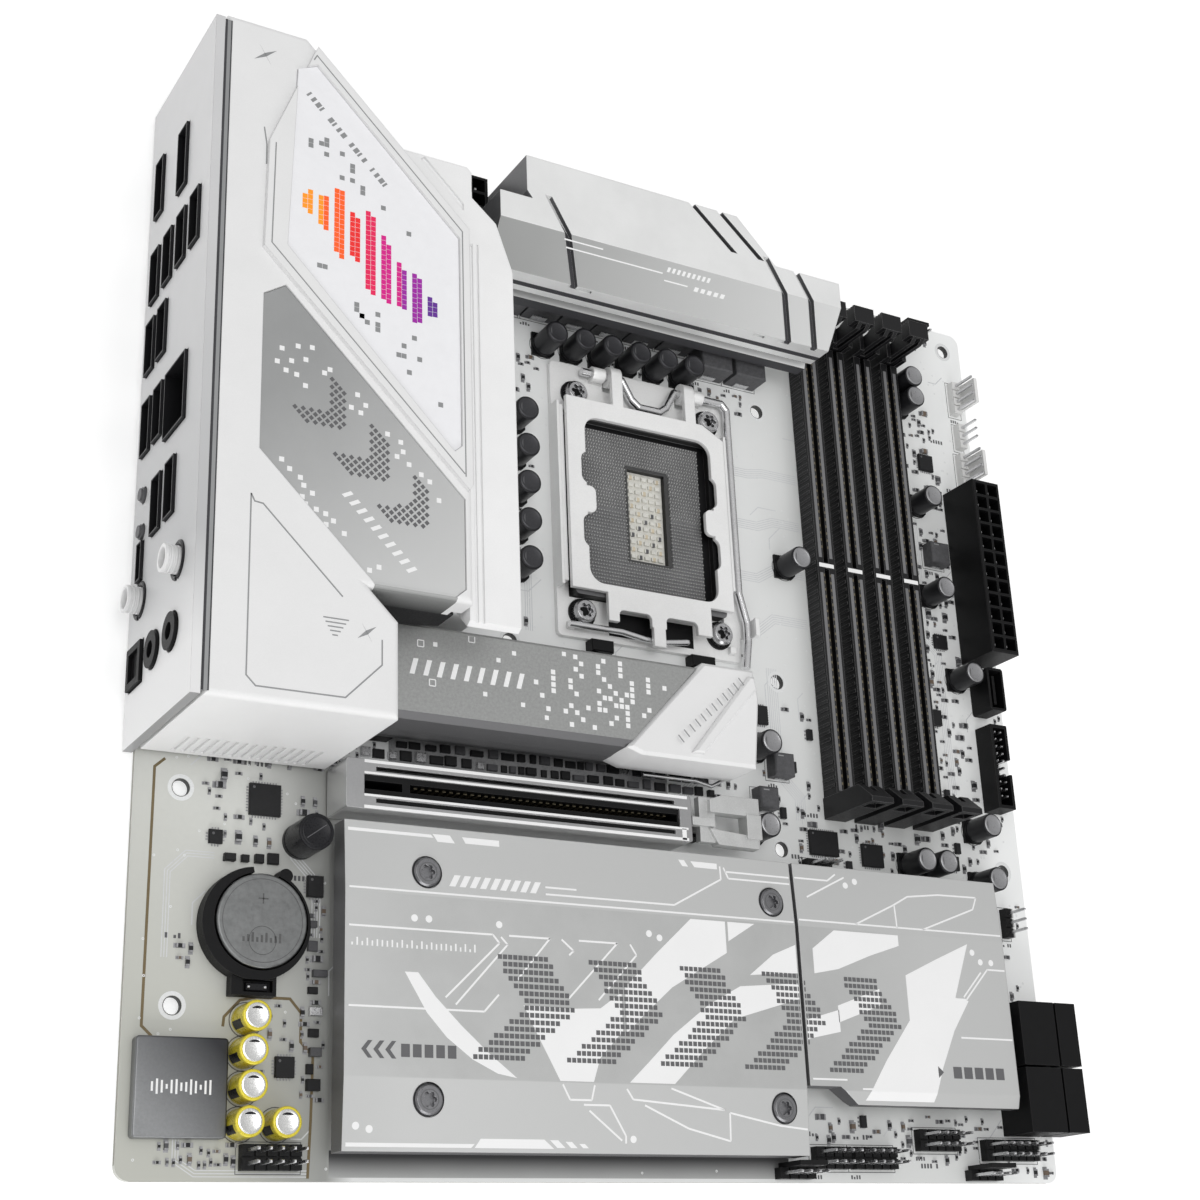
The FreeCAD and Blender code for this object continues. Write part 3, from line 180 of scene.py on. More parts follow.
def sided(tree, color_out, coords, direction, limit, color, reach=None):
    """Colour the faces that look along a direction; reach is the X range over which that dies away."""
    normal = tree.nodes.new("ShaderNodeNewGeometry").outputs["True Normal"]
    factor = ramped(tree, dotted(tree, normal, direction), From_Min=limit, From_Max=limit + 0.05)
    if reach is not None:
        along = ramped(tree, dotted(tree, coords.outputs["Object"], (1, 0, 0)),
            From_Min=PCB_LOW.x + reach[1] * MM, From_Max=PCB_LOW.x + reach[0] * MM)
        tree.links.new(along, factor.node.inputs["To Max"])
    return blended(tree, color_out, factor, color)


def surface(name, color, rough=0.5, metal=0, tone=0.06, tone_scale=90, grain=2500, bump=0.1, rough_var=0.08,
        edge=0.12, coat=0, glow=0, wear=0, spec=0.5, fades=(), sides=()):
    """Procedural finish: colour variation, grain that drives roughness and bump, and softened edges.

    Each of fades is (direction, start, end, colour), a blend along a direction in board millimetres.
    Each of sides is (direction, limit, colour), for faces whose normal is near enough to the direction.
    """
    mat = bpy.data.materials.new(name)
    mat.use_nodes = True
    tree = mat.node_tree
    tree.nodes.clear()
    link = tree.links.new
    coords = tree.nodes.new("ShaderNodeTexCoord")
    clouds = node(tree, "ShaderNodeTexNoise", Scale=tone_scale, Detail=5, Roughness=0.6)
    fine = node(tree, "ShaderNodeTexNoise", Scale=grain, Detail=3, Roughness=0.7)
    for noise in (clouds, fine):
        link(coords.outputs["Object"], noise.inputs["Vector"])
    both = tree.nodes.new("ShaderNodeMath")
    link(clouds.outputs["Fac"], both.inputs[0])
    link(fine.outputs["Fac"], both.inputs[1])
    mix = tree.nodes.new("ShaderNodeMix")
    mix.data_type = "RGBA"
    mix.inputs["A"].default_value = [c * (1 - tone) for c in color] + [1]
    mix.inputs["B"].default_value = [min(1, c * (1 + tone)) for c in color] + [1]
    link(ramped(tree, both.outputs["Value"], From_Min=0.7, From_Max=1.3), mix.inputs["Factor"])
    shader = node(tree, "ShaderNodeBsdfPrincipled", Metallic=metal, Coat_Weight=coat, Coat_Roughness=0.12,
        Specular_IOR_Level=spec)
    link(ramped(tree, fine.outputs["Fac"], From_Min=0.3, From_Max=0.7, To_Min=max(0.03, rough - rough_var),
        To_Max=min(1, rough + rough_var)), shader.inputs["Roughness"])
    bumper = node(tree, "ShaderNodeBump", Strength=bump, Distance=0.00012)
    link(fine.outputs["Fac"], bumper.inputs["Height"])
    color_out = mix.outputs["Result"]
    for fade in fades:
        color_out = faded(tree, color_out, coords, *fade)
    for side in sides:
        color_out = sided(tree, color_out, coords, *side)
    if edge > 0:
        soft = node(tree, "ShaderNodeBevel", Radius=edge * MM)
        soft.samples = 4
        link(soft.outputs["Normal"], bumper.inputs["Normal"])
        if wear > 0:    # painted highlight: lighter along the edges, where the bevel turns the normal
            normal = tree.nodes.new("ShaderNodeNewGeometry").outputs["True Normal"]
            turned = dotted(tree, soft.outputs["Normal"], normal)
            color_out = blended(tree, color_out, ramped(tree, turned, From_Min=0.995, From_Max=0.8,
                To_Max=wear), (0.9, 0.9, 0.9))
    link(color_out, shader.inputs["Base Color"])
    link(bumper.outputs["Normal"], shader.inputs["Normal"])
    if glow > 0:
        link(mix.outputs["Result"], shader.inputs["Emission Color"])
        shader.inputs["Emission Strength"].default_value = glow
    output = tree.nodes.new("ShaderNodeOutputMaterial")
    link(shader.outputs["BSDF"], output.inputs["Surface"])
    return mat


M = {}
# painted shade on the walls that face the front and the left
SHADED_WALLS = [((0, -1, 0), 0.7, (0.13, 0.13, 0.135)), ((-1, 0, 0), 0.7, (0.2, 0.2, 0.205))]


def add(key, *values, **detail):
    M[key] = surface(key, *values, **detail)


# painted light and shade in the mask's fades: darker towards the lower left corner and from x 27 to 43
# beside the lower covers, a little darker from x 150 to 185, and brighter towards the right edge
add("mask", (0.88, 0.89, 0.885), 0.36, tone=0.05, tone_scale=40, grain=700, coat=0.25,
    fades=[((-0.7, -0.7, 0), -150, -20, (0.51, 0.515, 0.465)), ((1, 0, 0), 27, 43, (0.33, 0.335, 0.32)),
    ((1, 0, 0), 44, 50, (0.84, 0.85, 0.845)), ((1, 0, 0), 150, 185, (0.72, 0.73, 0.72)),
    ((1, 0, 0), 212, 236, (0.96, 0.97, 0.965))], sides=[((0, 0, -1), 0.7, (0.84, 0.85, 0.845))])
add("core", (0.3, 0.29, 0.25), 0.7, tone=0.15, grain=4000, bump=0.3)
# near black, painted shadow: on the walls inside the holes and round the socket's middle recess
add("hole_wall", (0.05, 0.05, 0.05), 0.6, tone=0.2)
add("trace", (0.66, 0.67, 0.68), 0.32, tone=0.04, grain=900, coat=0.2, edge=0)
add("shade", (0.42, 0.425, 0.42), 0.6, tone=0.05, edge=0, fades=[((0, 1, 0), 0.8, 5, (0.05, 0.05, 0.052))])
add("end_shade", (0.012, 0.012, 0.013), 0.6, tone=0.05, edge=0, spec=0.2,
    fades=[((0, 0, 1), 32, 40.8, (0.26, 0.265, 0.26)), ((0, 0, 1), 40.9, 41.4, (0.42, 0.425, 0.42))])
# dark sheet of painted shade, laid on the board where shade falls beside the covers
add("film", (0.26, 0.26, 0.265), 0.6, tone=0.3, tone_scale=220, edge=0)
add("trace_light", (0.8, 0.81, 0.81), 0.3, tone=0.04, coat=0.2, edge=0)
add("silk", (0.1, 0.1, 0.105), 0.7, tone=0.2, grain=5000, edge=0)
add("tin", (0.62, 0.62, 0.63), 0.3, 1, tone=0.1, grain=1800, bump=0.25, edge=0.05)
add("solder", (0.33, 0.33, 0.34), 0.45, 0.7, tone=0.25, tone_scale=900, bump=0.2, edge=0)
add("spring", (0.54, 0.54, 0.53), 0.4, 0.6, tone=0.15, grain=2500, edge=0)
add("gold", (0.8, 0.6, 0.26), 0.25, 1, tone=0.08, grain=2500, bump=0.08, edge=0.04)
add("dull_gold", (0.22, 0.19, 0.13), 0.4, 0.8, tone=0.1, grain=2500, edge=0)
add("isolation", (0.16, 0.12, 0.06), 0.4, 0.4, tone=0.15, edge=0)
# painted light and shade on the rear plate: light towards its front end, darker behind y 110 and slowly
# lighter again towards the back, and its front-facing walls in painted shade
add("plate_white", (0.66, 0.66, 0.665), 0.38, tone=0.03, grain=2600, bump=0.12, edge=0.2,
    fades=[((0, -1, 0), -200, -110, (0.5, 0.505, 0.51)), ((0, -1, 0), -122, -98, (0.84, 0.84, 0.84))],
    sides=[((0, -1, 0), 0.7, (0.3, 0.3, 0.305))])
add("shroud", (0.86, 0.86, 0.86), 0.42, tone=0.025, grain=3800, bump=0.16, edge=0.3)
add("column", (0.93, 0.93, 0.93), 0.36, tone=0.03, grain=3000, bump=0.18, edge=0.3)
add("lens", (0.88, 0.88, 0.9), 0.16, tone=0.02, grain=400, bump=0.02, coat=0.5, glow=0.06)
# painted light on the lower covers: the faces beyond the creases and both ends of the covers lighter, with
# their front and left walls in painted shade
add("satin", (0.53, 0.535, 0.53), 0.46, 0.45, tone=0.07, grain=5200, bump=0.35, edge=0.3, wear=0.35,
    sides=SHADED_WALLS, fades=[((0, 1, 0), 58.5, 58.8, (0.6, 0.605, 0.6)),
    ((0, -1, 0), -20.2, -19.9, (0.62, 0.625, 0.62)), ((-1, 0, 0), -60, -40, (0.56, 0.565, 0.56)),
    ((1, 0, 0), 165, 200, (0.62, 0.625, 0.62))])
add("latch_satin", (0.62, 0.625, 0.62), 0.4, 0.6, tone=0.15, grain=4200, bump=0.3, edge=0.3, wear=0.5)
# front-facing walls in painted shade
add("upper_satin", (0.36, 0.365, 0.36), 0.46, 0.45, tone=0.16, tone_scale=1500, grain=4200, bump=0.35,
    edge=0.3, sides=[((0, -1, 0), 0.6, (0.16, 0.16, 0.165))])
# painted light and shade on the top heatsink: left-facing walls in painted shade, the sloping face darker
# than the level top and darker still towards its left end
add("top_satin", (0.93, 0.935, 0.93), 0.38, 0.35, tone=0.05, grain=5200, bump=0.35, edge=0.3, wear=0.5,
    sides=[((-1, 0, 0), 0.55, (0.11, 0.11, 0.115)), ((0, -0.59, 0.81), 0.93, (0.8, 0.805, 0.8)),
    ((0, -0.59, 0.81), 0.93, (0.4, 0.405, 0.4), (85, 180))])
# painted reflection: lighter towards the lower right
add("plate_satin", (0.385, 0.39, 0.39), 0.42, 0.5, tone=0.06, grain=5200, bump=0.25, edge=0.15,
    fades=[((0.7, -0.7, 0), -100, -30, (0.77, 0.775, 0.77))])
# near black, painted shadow in recesses: the screw countersinks, the rear seam, and the top heatsink's lower
# walls and slanted grooves
add("groove", (0.06, 0.06, 0.065), 0.6, tone=0.15, edge=0, spec=0.2)
add("ink_white", (0.93, 0.93, 0.93), 0.45, tone=0.02, grain=5000, bump=0.05, edge=0)
add("ink_grey", (0.125, 0.125, 0.13), 0.5, tone=0.08, grain=5000, edge=0)
add("ink_mid", (0.34, 0.345, 0.35), 0.42, 0.5, tone=0.05, grain=5000, bump=0.2, edge=0)
add("steel", (0.91, 0.91, 0.905), 0.4, 0.2, tone=0.05, grain=3000, bump=0.07, rough_var=0.04, edge=0.3,
    wear=0.3)
add("ilm_screw", (0.5, 0.5, 0.51), 0.24, 1, tone=0.15, grain=2600, edge=0.2, wear=0.6)
add("screw", (0.24, 0.24, 0.25), 0.34, 1, tone=0.12, grain=2600, bump=0.15, edge=0.15, wear=0.4)
add("wire", (0.72, 0.72, 0.73), 0.2, 1, tone=0.08, grain=2000, bump=0.08, edge=0.1)
# painted light on the jacket's walls that face the front and the left
add("armour", (0.4, 0.4, 0.405), 0.34, 0.8, tone=0.06, grain=2400, bump=0.04, rough_var=0.02, edge=0.2,
    wear=0.3, sides=[((0, -1, 0), 0.7, (0.75, 0.75, 0.75)), ((-1, 0, 0), 0.7, (0.8, 0.8, 0.8))])
add("nickel", (0.72, 0.72, 0.71), 0.24, 1, tone=0.05, grain=2400, bump=0.06, rough_var=0.05, edge=0.2)
# nickel shells coloured near black, painted shade
add("port_shell", (0.018, 0.018, 0.02), 0.4, 0.4, tone=0.1, grain=2400, edge=0.1, spec=0.3)
add("black", (0.004, 0.004, 0.0045), 0.5, tone=0.25, tone_scale=400, grain=3200, bump=0.22, edge=0.15,
    wear=0.06, spec=0.2)
add("header", (0.004, 0.004, 0.0045), 0.5, tone=0.25, tone_scale=400, grain=3200, bump=0.2, edge=0.12,
    spec=0.28, fades=[((1, 0, 0), 236.4, 237.2, (0.8, 0.8, 0.79))])
add("dimm", (0.006, 0.006, 0.007), 0.45, tone=0.2, tone_scale=300, grain=2600, bump=0.15, edge=0.25,
    wear=0.18, spec=0.35)
add("rail_grey", (0.17, 0.17, 0.175), 0.45, tone=0.15, grain=3000, edge=0)
add("grey", (0.1, 0.1, 0.105), 0.5, tone=0.15, grain=3000, bump=0.2, edge=0.15, wear=0.1)
# painted shade on the socket's walls that face left and front
add("well", (0.16, 0.16, 0.165), 0.55, tone=0.2, grain=3000, bump=0.3, edge=0.1,
    sides=[((-1, 0, 0), 0.6, (0.006, 0.006, 0.006)), ((0, -1, 0), 0.6, (0.02, 0.02, 0.02))])
add("white", (0.84, 0.84, 0.84), 0.38, tone=0.02, grain=3000, bump=0.12, edge=0.3)
add("ferrite", (0.085, 0.085, 0.09), 0.55, 0.2, tone=0.3, tone_scale=900, grain=4200, bump=0.5, edge=0.3)
add("chip", (0.01, 0.01, 0.011), 0.5, tone=0.25, tone_scale=600, grain=4500, bump=0.3, edge=0.1, spec=0.3)
add("can", (0.016, 0.016, 0.018), 0.36, 0.2, tone=0.15, grain=1600, bump=0.06, edge=0.15, spec=0.35)
add("can_top", (0.36, 0.36, 0.37), 0.34, 0.8, tone=0.12, grain=2600, bump=0.15, edge=0.1)
# darker copy of can_top, painted shade on the lids under the top heatsink and left of the socket
add("can_dark", (0.05, 0.05, 0.055), 0.36, 0.5, tone=0.2, grain=2600, bump=0.15, edge=0.1)
add("can_gold", (0.74, 0.62, 0.04), 0.3, 0.25, tone=0.08, grain=1200, bump=0.05, coat=0.4, edge=0.15)
add("can_silver", (0.8, 0.8, 0.79), 0.26, 1, tone=0.08, grain=2600, bump=0.12, edge=0.1)
add("can_black", (0.012, 0.012, 0.014), 0.3, tone=0.2, bump=0.04, edge=0.2, spec=0.22)
# painted reflection: darker towards the upper right
add("shield", (0.25, 0.255, 0.26), 0.32, 0.7, tone=0.1, tone_scale=40, grain=1500, bump=0.06, rough_var=0.03,
    edge=0.08, fades=[((0.7, 0.7, 0), 12, 32, (0.035, 0.036, 0.04))])
add("pad", (0.38, 0.41, 0.45), 0.8, tone=0.1, grain=1500, bump=0.4, edge=0.2)
# steel with a dark base colour, a painted reflection of a dark surround
add("cell", (0.2, 0.205, 0.205), 0.36, 1, tone=0.14, tone_scale=200, grain=900, bump=0.12, edge=0.25)
add("cell_mark", (0.12, 0.12, 0.12), 0.4, 0.9, tone=0.2, edge=0)
add("smd_black", (0.014, 0.014, 0.016), 0.4, tone=0.2, edge=0, spec=0.3)
add("smd_tan", (0.14, 0.1, 0.07), 0.4, tone=0.2, tone_scale=800, edge=0)
add("smd_grey", (0.07, 0.07, 0.075), 0.45, tone=0.2, edge=0)
add("amber", (0.66, 0.58, 0.44), 0.4, 0.2, tone=0.15, edge=0)
add("cream", (0.72, 0.71, 0.66), 0.5, tone=0.15, tone_scale=700, edge=0)


# ---------------- mesh building
def clip(points, axis, limit, keep_high):
    """Cut a polygon with a line at right angles to X (axis 0) or Y (axis 1)."""
    kept = []
    for i, a in enumerate(points):
        b = points[(i + 1) % len(points)]
        in_a = (a[axis] >= limit) == keep_high
        in_b = (b[axis] >= limit) == keep_high
        if in_a:
            kept.append(a)
        if in_a != in_b:
            t = (limit - a[axis]) / (b[axis] - a[axis])
            kept.append((a[0] + t * (b[0] - a[0]), a[1] + t * (b[1] - a[1])))
    return kept


def inside(x, y, outline):
    hit = False
    for a, b in zip(outline, outline[1:] + outline[:1]):
        if (a[1] > y) != (b[1] > y) and x < a[0] + (y - a[1]) / (b[1] - a[1]) * (b[0] - a[0]):
            hit = not hit
    return hit


def circle(x, y, r, sides, turn=0):
    step = 2 * math.pi / sides
    return [(x + r * math.cos(turn + i * step), y + r * math.sin(turn + i * step)) for i in range(sides)]


def oblong(x0, y0, x1, y1):
    return [(x0, y0), (x1, y0), (x1, y1), (x0, y1)]


def square(x, y, half):
    return oblong(x - half, y - half, x + half, y + half)


def slanted(x, y, width, lean, height):
    """Upright block that leans like an italic letter."""
    return [(x, y), (x + width, y), (x + width + lean, y + height), (x + lean, y + height)]


def ribbon(points, width):
    """Outline of a line of constant width through the points, with mitred corners."""
    left, right = [], []
    for i, p in enumerate(points):
        before = Vector(p) - Vector(points[i - 1]) if i > 0 else None
        after = Vector(points[i + 1]) - Vector(p) if i < len(points) - 1 else None
        a = (before or after).normalized()
        b = (after or before).normalized()
        bisector = (a + b).normalized() if (a + b).length > 1e-6 else a
        normal = Vector((-bisector.y, bisector.x))
        reach = width / 2 / max(0.4, normal.dot(Vector((-a.y, a.x))))
        left.append((p[0] + normal.x * reach, p[1] + normal.y * reach))
        right.append((p[0] - normal.x * reach, p[1] - normal.y * reach))
    return right + left[::-1]


class Shape:
    """Collects closed solids in board millimetres and turns them into one object."""

    def __init__(self):
        self.verts = []
        self.faces = []
        self.slots = []

    def skin(self, loops, m=0, closed=False):
        """Closed skin through loops of equal point counts, capped unless the loops close on themselves."""
        n, count, start = len(loops[0]), len(loops), len(self.verts)
        faces = []
        if not closed:
            faces = [range(n)[::-1], range((count - 1) * n, count * n)]
        for k in range(count if closed else count - 1):
            a, b = k * n, (k + 1) % count * n
            faces += [[a + i, a + (i + 1) % n, b + (i + 1) % n, b + i] for i in range(n)]
        self.verts += [v for loop in loops for v in loop]
        self.faces += [[start + i for i in face] for face in faces]
        self.slots += [m] * len(faces)

    def prism(self, outline, z0, z1, m=0):
        """Upright prism; each height is a number or a function of x and y."""
        area = sum(a[0] * b[1] - b[0] * a[1] for a, b in zip(outline, outline[1:] + outline[:1]))
        points = outline if area > 0 else outline[::-1]
        self.skin([[(x, y, z(x, y) if callable(z) else z) for x, y in points] for z in (z0, z1)], m)

    def ink(self, outline, z=0, m=0):
        """Thin print on a level face."""
        self.prism(outline, z - INK, z + PRINT_T, m)

    def stroke(self, points, width, z=0, m=0):
        self.ink(ribbon(points, width), z, m)

    def box(self, x0, y0, z0, x1, y1, z1, m=0):
        self.prism(oblong(x0, y0, x1, y1), z0, z1, m)

    def block(self, x0, y0, z0, x1, y1, z1, c=0.1, m=0):
        """Box with its top edges bevelled by c."""
        self.loft([oblong(x0, y0, x1, y1)] * 2 + [oblong(x0 + c, y0 + c, x1 - c, y1 - c)], [z0, z1 - c, z1],
            m)

    def loft(self, outlines, heights, m=0):
        self.skin([[(x, y, z) for x, y in points] for points, z in zip(outlines, heights)], m)

    def turned(self, x, y, profile, sides=24, m=0):
        """Turned solid about an upright axis from (radius, z) pairs, low to high."""
        self.loft([circle(x, y, r, sides) for r, z in profile], [z for r, z in profile], m)

    def ring(self, x, y, r0, r1, z0, z1, sides=28, m=0):
        corners = ((r1, z0), (r1, z1), (r0, z1), (r0, z0))
        self.skin([[(px, py, z) for px, py in circle(x, y, r, sides)] for r, z in corners], m, True)

    def tube(self, points, r, sides=8):
        """Round wire through 3-D points."""
        path = [Vector(p) for p in points]
        loops = []
        for i, p in enumerate(path):
            ahead = (path[min(i + 1, len(path) - 1)] - path[max(i - 1, 0)]).normalized()
            side = ahead.cross(Vector((0, 0, 1)))
            side = side.normalized() if side.length > 1e-4 else Vector((1, 0, 0))
            up = side.cross(ahead)
            loops.append([tuple(p + u * side - v * up) for u, v in circle(0, 0, r, sides)])
        self.skin(loops)

    def make(self, name, mats, slot, body=BOARD, smooth=False):
        """Finish as one object that rides on a CAD body; smooth rounds faces that meet at a low angle."""
        mesh = bpy.data.meshes.new(name)
        mesh.from_pydata([place(*v) for v in self.verts], [], self.faces)
        for key in mats.split():
            mesh.materials.append(M[key])
        mesh.polygons.foreach_set("material_index", self.slots)
        mesh.validate()
        if smooth:
            mesh.polygons.foreach_set("use_smooth", [True] * len(mesh.polygons))
            mesh.set_sharp_from_angle(angle=math.radians(32))
        mesh.update()
        obj = bpy.data.objects.new(name, mesh)
        bpy.context.scene.collection.objects.link(obj)
        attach(obj, body)
        return obj


# ---------------- finishes of the CAD pieces
FINISH = {
    "mask": "pcb", "plate_white": "io_plate", "port_shell": "rear_port_shells",
    "black": "rear_port_inserts audio_jacks m2_sockets pcie_body atx24_connector eps_connectors "
             "usb3_header usbc_header sata_ports battery_holder",
    "white": "antenna_posts m2_release_latch", "shroud": "io_shroud", "plate_satin": "shroud_metal_plate",
    "lens": "shroud_light_panel", "column": "vrm_heatsink_left", "top_satin": "vrm_heatsink_top",
    "ferrite": "vrm_chokes", "chip": "vrm_mosfets chips chipset", "pad": "thermal_pads",
    "can": "polymer_caps", "can_gold": "audio_caps", "can_black": "bulk_cap", "shield": "audio_shield",
    "satin": "chipset_heatsink m2_lower_heatsink", "screw": "cover_screws",
    "tin": "m2_standoffs header_pins", "grey": "m2_retainer bios_button cmos_button",
    "upper_satin": "m2_upper_heatsink", "wire": "latch_spring load_lever retention_wire",
    "armour": "pcie_armour", "dull_gold": "slot_contacts", "latch_satin": "pcie_latch",
    "well": "socket_housing", "gold": "socket_contacts", "steel": "ilm_frame load_plate ilm_backplate",
    "ilm_screw": "ilm_screws", "dimm": "dimm_bodies dimm_latch_1 dimm_latch_2 dimm_latch_3 dimm_latch_4",
    "solder": "power_pins", "header": "pin_headers fan_headers", "cell": "coin_cell",
}
ROUNDED = {"load_plate": 0.3, "ilm_frame": 0.2}     # radius of the pressed steel's edges


def round_edges(obj, width):
    """Weld split CAD vertices and round the sharp edges."""
    obj.modifiers.new("weld", "WELD").merge_threshold = 0.00001
    mod = obj.modifiers.new("edges", "BEVEL")
    mod.width = width * MM
    mod.segments = 2
    mod.limit_method = "ANGLE"
    mod.angle_limit = math.radians(40)
    mod.harden_normals = False


def finish_cad():
    for key, names in FINISH.items():
        for name in names.split():
            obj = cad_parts[name]
            obj.data.materials.clear()
            obj.data.materials.append(M[key])
            if name in ROUNDED:
                round_edges(obj, ROUNDED[name])


# ---------------- circuit board surface
def board_edge():
    """Bare laminate and ground foil round the rim of the board, and rings round its holes."""
    rim = Shape()
    near, far, proud = 3, 240.8, 0.015
    for z0, z1 in ((-1.35, -0.95), (-0.75, -0.45)):
        for low, high in ((-proud, 2 * proud), (BOARD_SIDE - 2 * proud, BOARD_SIDE + proud)):
            rim.box(near, low, z0, far, high, z1)
            rim.box(low, near, z0, high, far, z1)
    rim.make("board_rim_layers", "core", "pcb_white")
    rings = Shape()
    for x, y in MOUNT_HOLES + COOLER_HOLES:
        rings.ring(x, y, 2.05, 2.9, -INK, 0.03)
        # painted shadow on the hole's inner wall
        rings.ring(x, y, 1.84, 1.95, -1.58, -0.04, m=1)
    for x, y in MOUNT_HOLES:
        rings.ring(x, y, 2.05, 3.5, -1.64, -1.55)
    rings.make("hole_rings", "trace_light hole_wall", "nickel", smooth=True)


def board_prints():
    lines, shade = Shape(), Shape()
    lines.stroke([(6.5, 86), (4.3, 84), (4, 30), (6.2, 28)], 0.6)
    lines.stroke([(21, 30.5), (21.2, 32.5), (24.5, 36), (28, 36.8), (35.5, 36.8), (38, 34), (38, 28),
        (40.8, 25), (40.5, 12), (40, 0.6)], 0.6)
    lines.make("isolation_lines", "isolation", "gold")
    shade.ink(oblong(44.6, 0.8, 160.4, 6.2))
    shade.make("front_edge_shade", "shade", "pcb_white")


# ---------------- small surface parts
SMD_SIZES = [(1, 0.5, 0.45), (1.6, 0.8, 0.6), (2, 1.25, 0.85)]
SMD_ZONES = [(8, 3, 24, 7.2, 20), (38.2, 16, 43.4, 60, 40), (11, 43, 17, 47, 6), (20, 69.5, 32, 75, 8),
    (20, 84, 32, 90, 10), (13, 76, 20, 90, 8), (34, 76, 43, 90, 8), (28.5, 20, 36, 36, 8),
    (148, 88, 178, 118, 18), (166, 76.5, 232, 93, 44), (215.2, 96, 231, 216, 130), (225.6, 46, 243, 95, 16),
    (237, 122, 243, 192, 10), (88, 126, 97, 205, 16), (97, 199, 165, 206.5, 18), (146, 219, 178, 242, 20),
    (160, 5, 232, 16.4, 44), (226, 1, 243, 10, 8), (44, 88, 58, 95, 10), (132, 88, 158, 96, 10),
    (176, 232, 243, 243, 10)]    # x0, y0, x1, y1 and how many parts
SKIPPED = """pcb io_plate io_shroud shroud_metal_plate shroud_light_panel ilm_backplate slot_contacts
             power_pins header_pins socket_contacts audio_jacks antenna_posts bios_button cmos_button
             thermal_pads vrm_mosfets""".split()
LOW_Z = 3.7     # solids that start above this leave room for parts below them
KEEP = []


def collect_keepouts():
    """Footprints of CAD solids that stand on the board, so that loose parts never cut into them."""
    for a, b in islands(*sorted(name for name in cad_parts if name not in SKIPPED)):
        if a[2] < LOW_Z:
            KEEP.append((a[0], a[1], b[0], b[1]))
    for holes, reach in ((MOUNT_HOLES, 4.2), (COOLER_HOLES, 3.2)):
        for x, y in holes:
            KEEP.append((x - reach, y - reach, x + reach, y + reach))


def on_board(x0, y0, x1, y1):
    return min(x0, y0) >= RIM and max(x1, y1) <= BOARD_SIDE - RIM


def free(x0, y0, x1, y1, gap=0.3):
    clear = all(x1 + gap < a or x0 - gap > c or y1 + gap < b or y0 - gap > d for a, b, c, d in KEEP)
    return clear and on_board(x0, y0, x1, y1)


def smd(shape, x, y, upright, size, body):
    """Two-ended chip part: pads, end caps and body."""
    length, width, height = size
    half, side, cap = length / 2, width / 2, 0.22 * length

    def bar(a0, a1, reach, z0, z1, m):
        """Box from a0 to a1 along the part and to reach on both sides of it."""
        if upright:
            shape.box(x - reach, y + a0, z0, x + reach, y + a1, z1, m)
        else:
            shape.box(x + a0, y - reach, z0, x + a1, y + reach, z1, m)

    for s in (-1, 1):
        pad, end = s * (half + 0.12), s * (half - cap / 2)
        bar(pad - cap, pad + cap, side + 0.1, -INK, 0.05, 0)
        bar(end - cap / 2, end + cap / 2, side, 0, height + 0.03, 0)
    bar(cap - half, half - cap, side, 0.02, height, body)


def small_ic(shape, x, y):
    """Moulded six-leg package."""
    shape.block(x - 0.8, y - 1.45, 0.1, x + 0.8, y + 1.45, 1, 0.12, 1)
    for side in (-1, 1):
        for k in (-0.95, 0, 0.95):
            lx = x + side * 1.05
            shape.box(lx - 0.28, y + k - 0.2, 0, lx + 0.28, y + k + 0.2, 0.2)


def scatter_parts():
    """Rows of chip parts in the free areas of the board, in seeded random runs."""
    rng = random.Random(41)
    parts = Shape()
    for x0, y0, x1, y1, count in SMD_ZONES:
        made = 0
        for _ in range(count * 8):
            if made >= count:
                break
            kind = rng.random()
            size = SMD_SIZES[0 if kind < 0.45 else 1 if kind < 0.88 else 2]
            upright = rng.random() < 0.5
            body = rng.choice((1, 1, 1, 1, 2, 3))
            run = rng.choice((1, 1, 2, 2, 3, 4, 5))
            x, y = rng.uniform(x0, x1), rng.uniform(y0, y1)
            package = (x - 1.6, y - 1.7, x + 1.6, y + 1.7)
            if rng.random() < 0.07 and free(*package):
                small_ic(parts, x, y)
                KEEP.append(package)
                made += 1
                continue
            hx, hy = (size[1] / 2 + 0.3, size[0] / 2 + 0.3)[::1 if upright else -1]
            for k in range(run):
                px = x + (k * (size[1] + 0.55) if upright else 0)
                py = y + (0 if upright else k * (size[1] + 0.55))
                box = (px - hx, py - hy, px + hx, py + hy)
                if px > x1 or py > y1 or not free(*box, gap=0.05):
                    break
                smd(parts, px, py, upright, size, body)
                KEEP.append(box)
                made += 1
    parts.make("chip_parts", "solder smd_black smd_tan smd_grey", "chip_black")


def board_vias():
    rng = random.Random(17)
    vias = Shape()
    for _ in range(1500):
        x, y = round(rng.uniform(2, 242) * 2) / 2, round(rng.uniform(2, 242) * 2) / 2
        if free(x - 0.4, y - 0.4, x + 0.4, y + 0.4, 0.1):
            vias.ring(x, y, 0.14, 0.3, -INK, 0.035, 8)
    vias.make("vias", "trace_light", "pcb_white")


def bus(shape, points, count, pitch=0.6, width=0.22):
    """Bundle of parallel tracks that follows one path."""
    for k in range(count):
        offset = (k - (count - 1) / 2) * pitch
        path = points
        if abs(offset) > 1e-6:
            line = ribbon(points, 2 * abs(offset))
            path = line[:len(points)] if offset < 0 else line[len(points):][::-1]
        shape.prism(ribbon(path, width), -INK, 0.022)


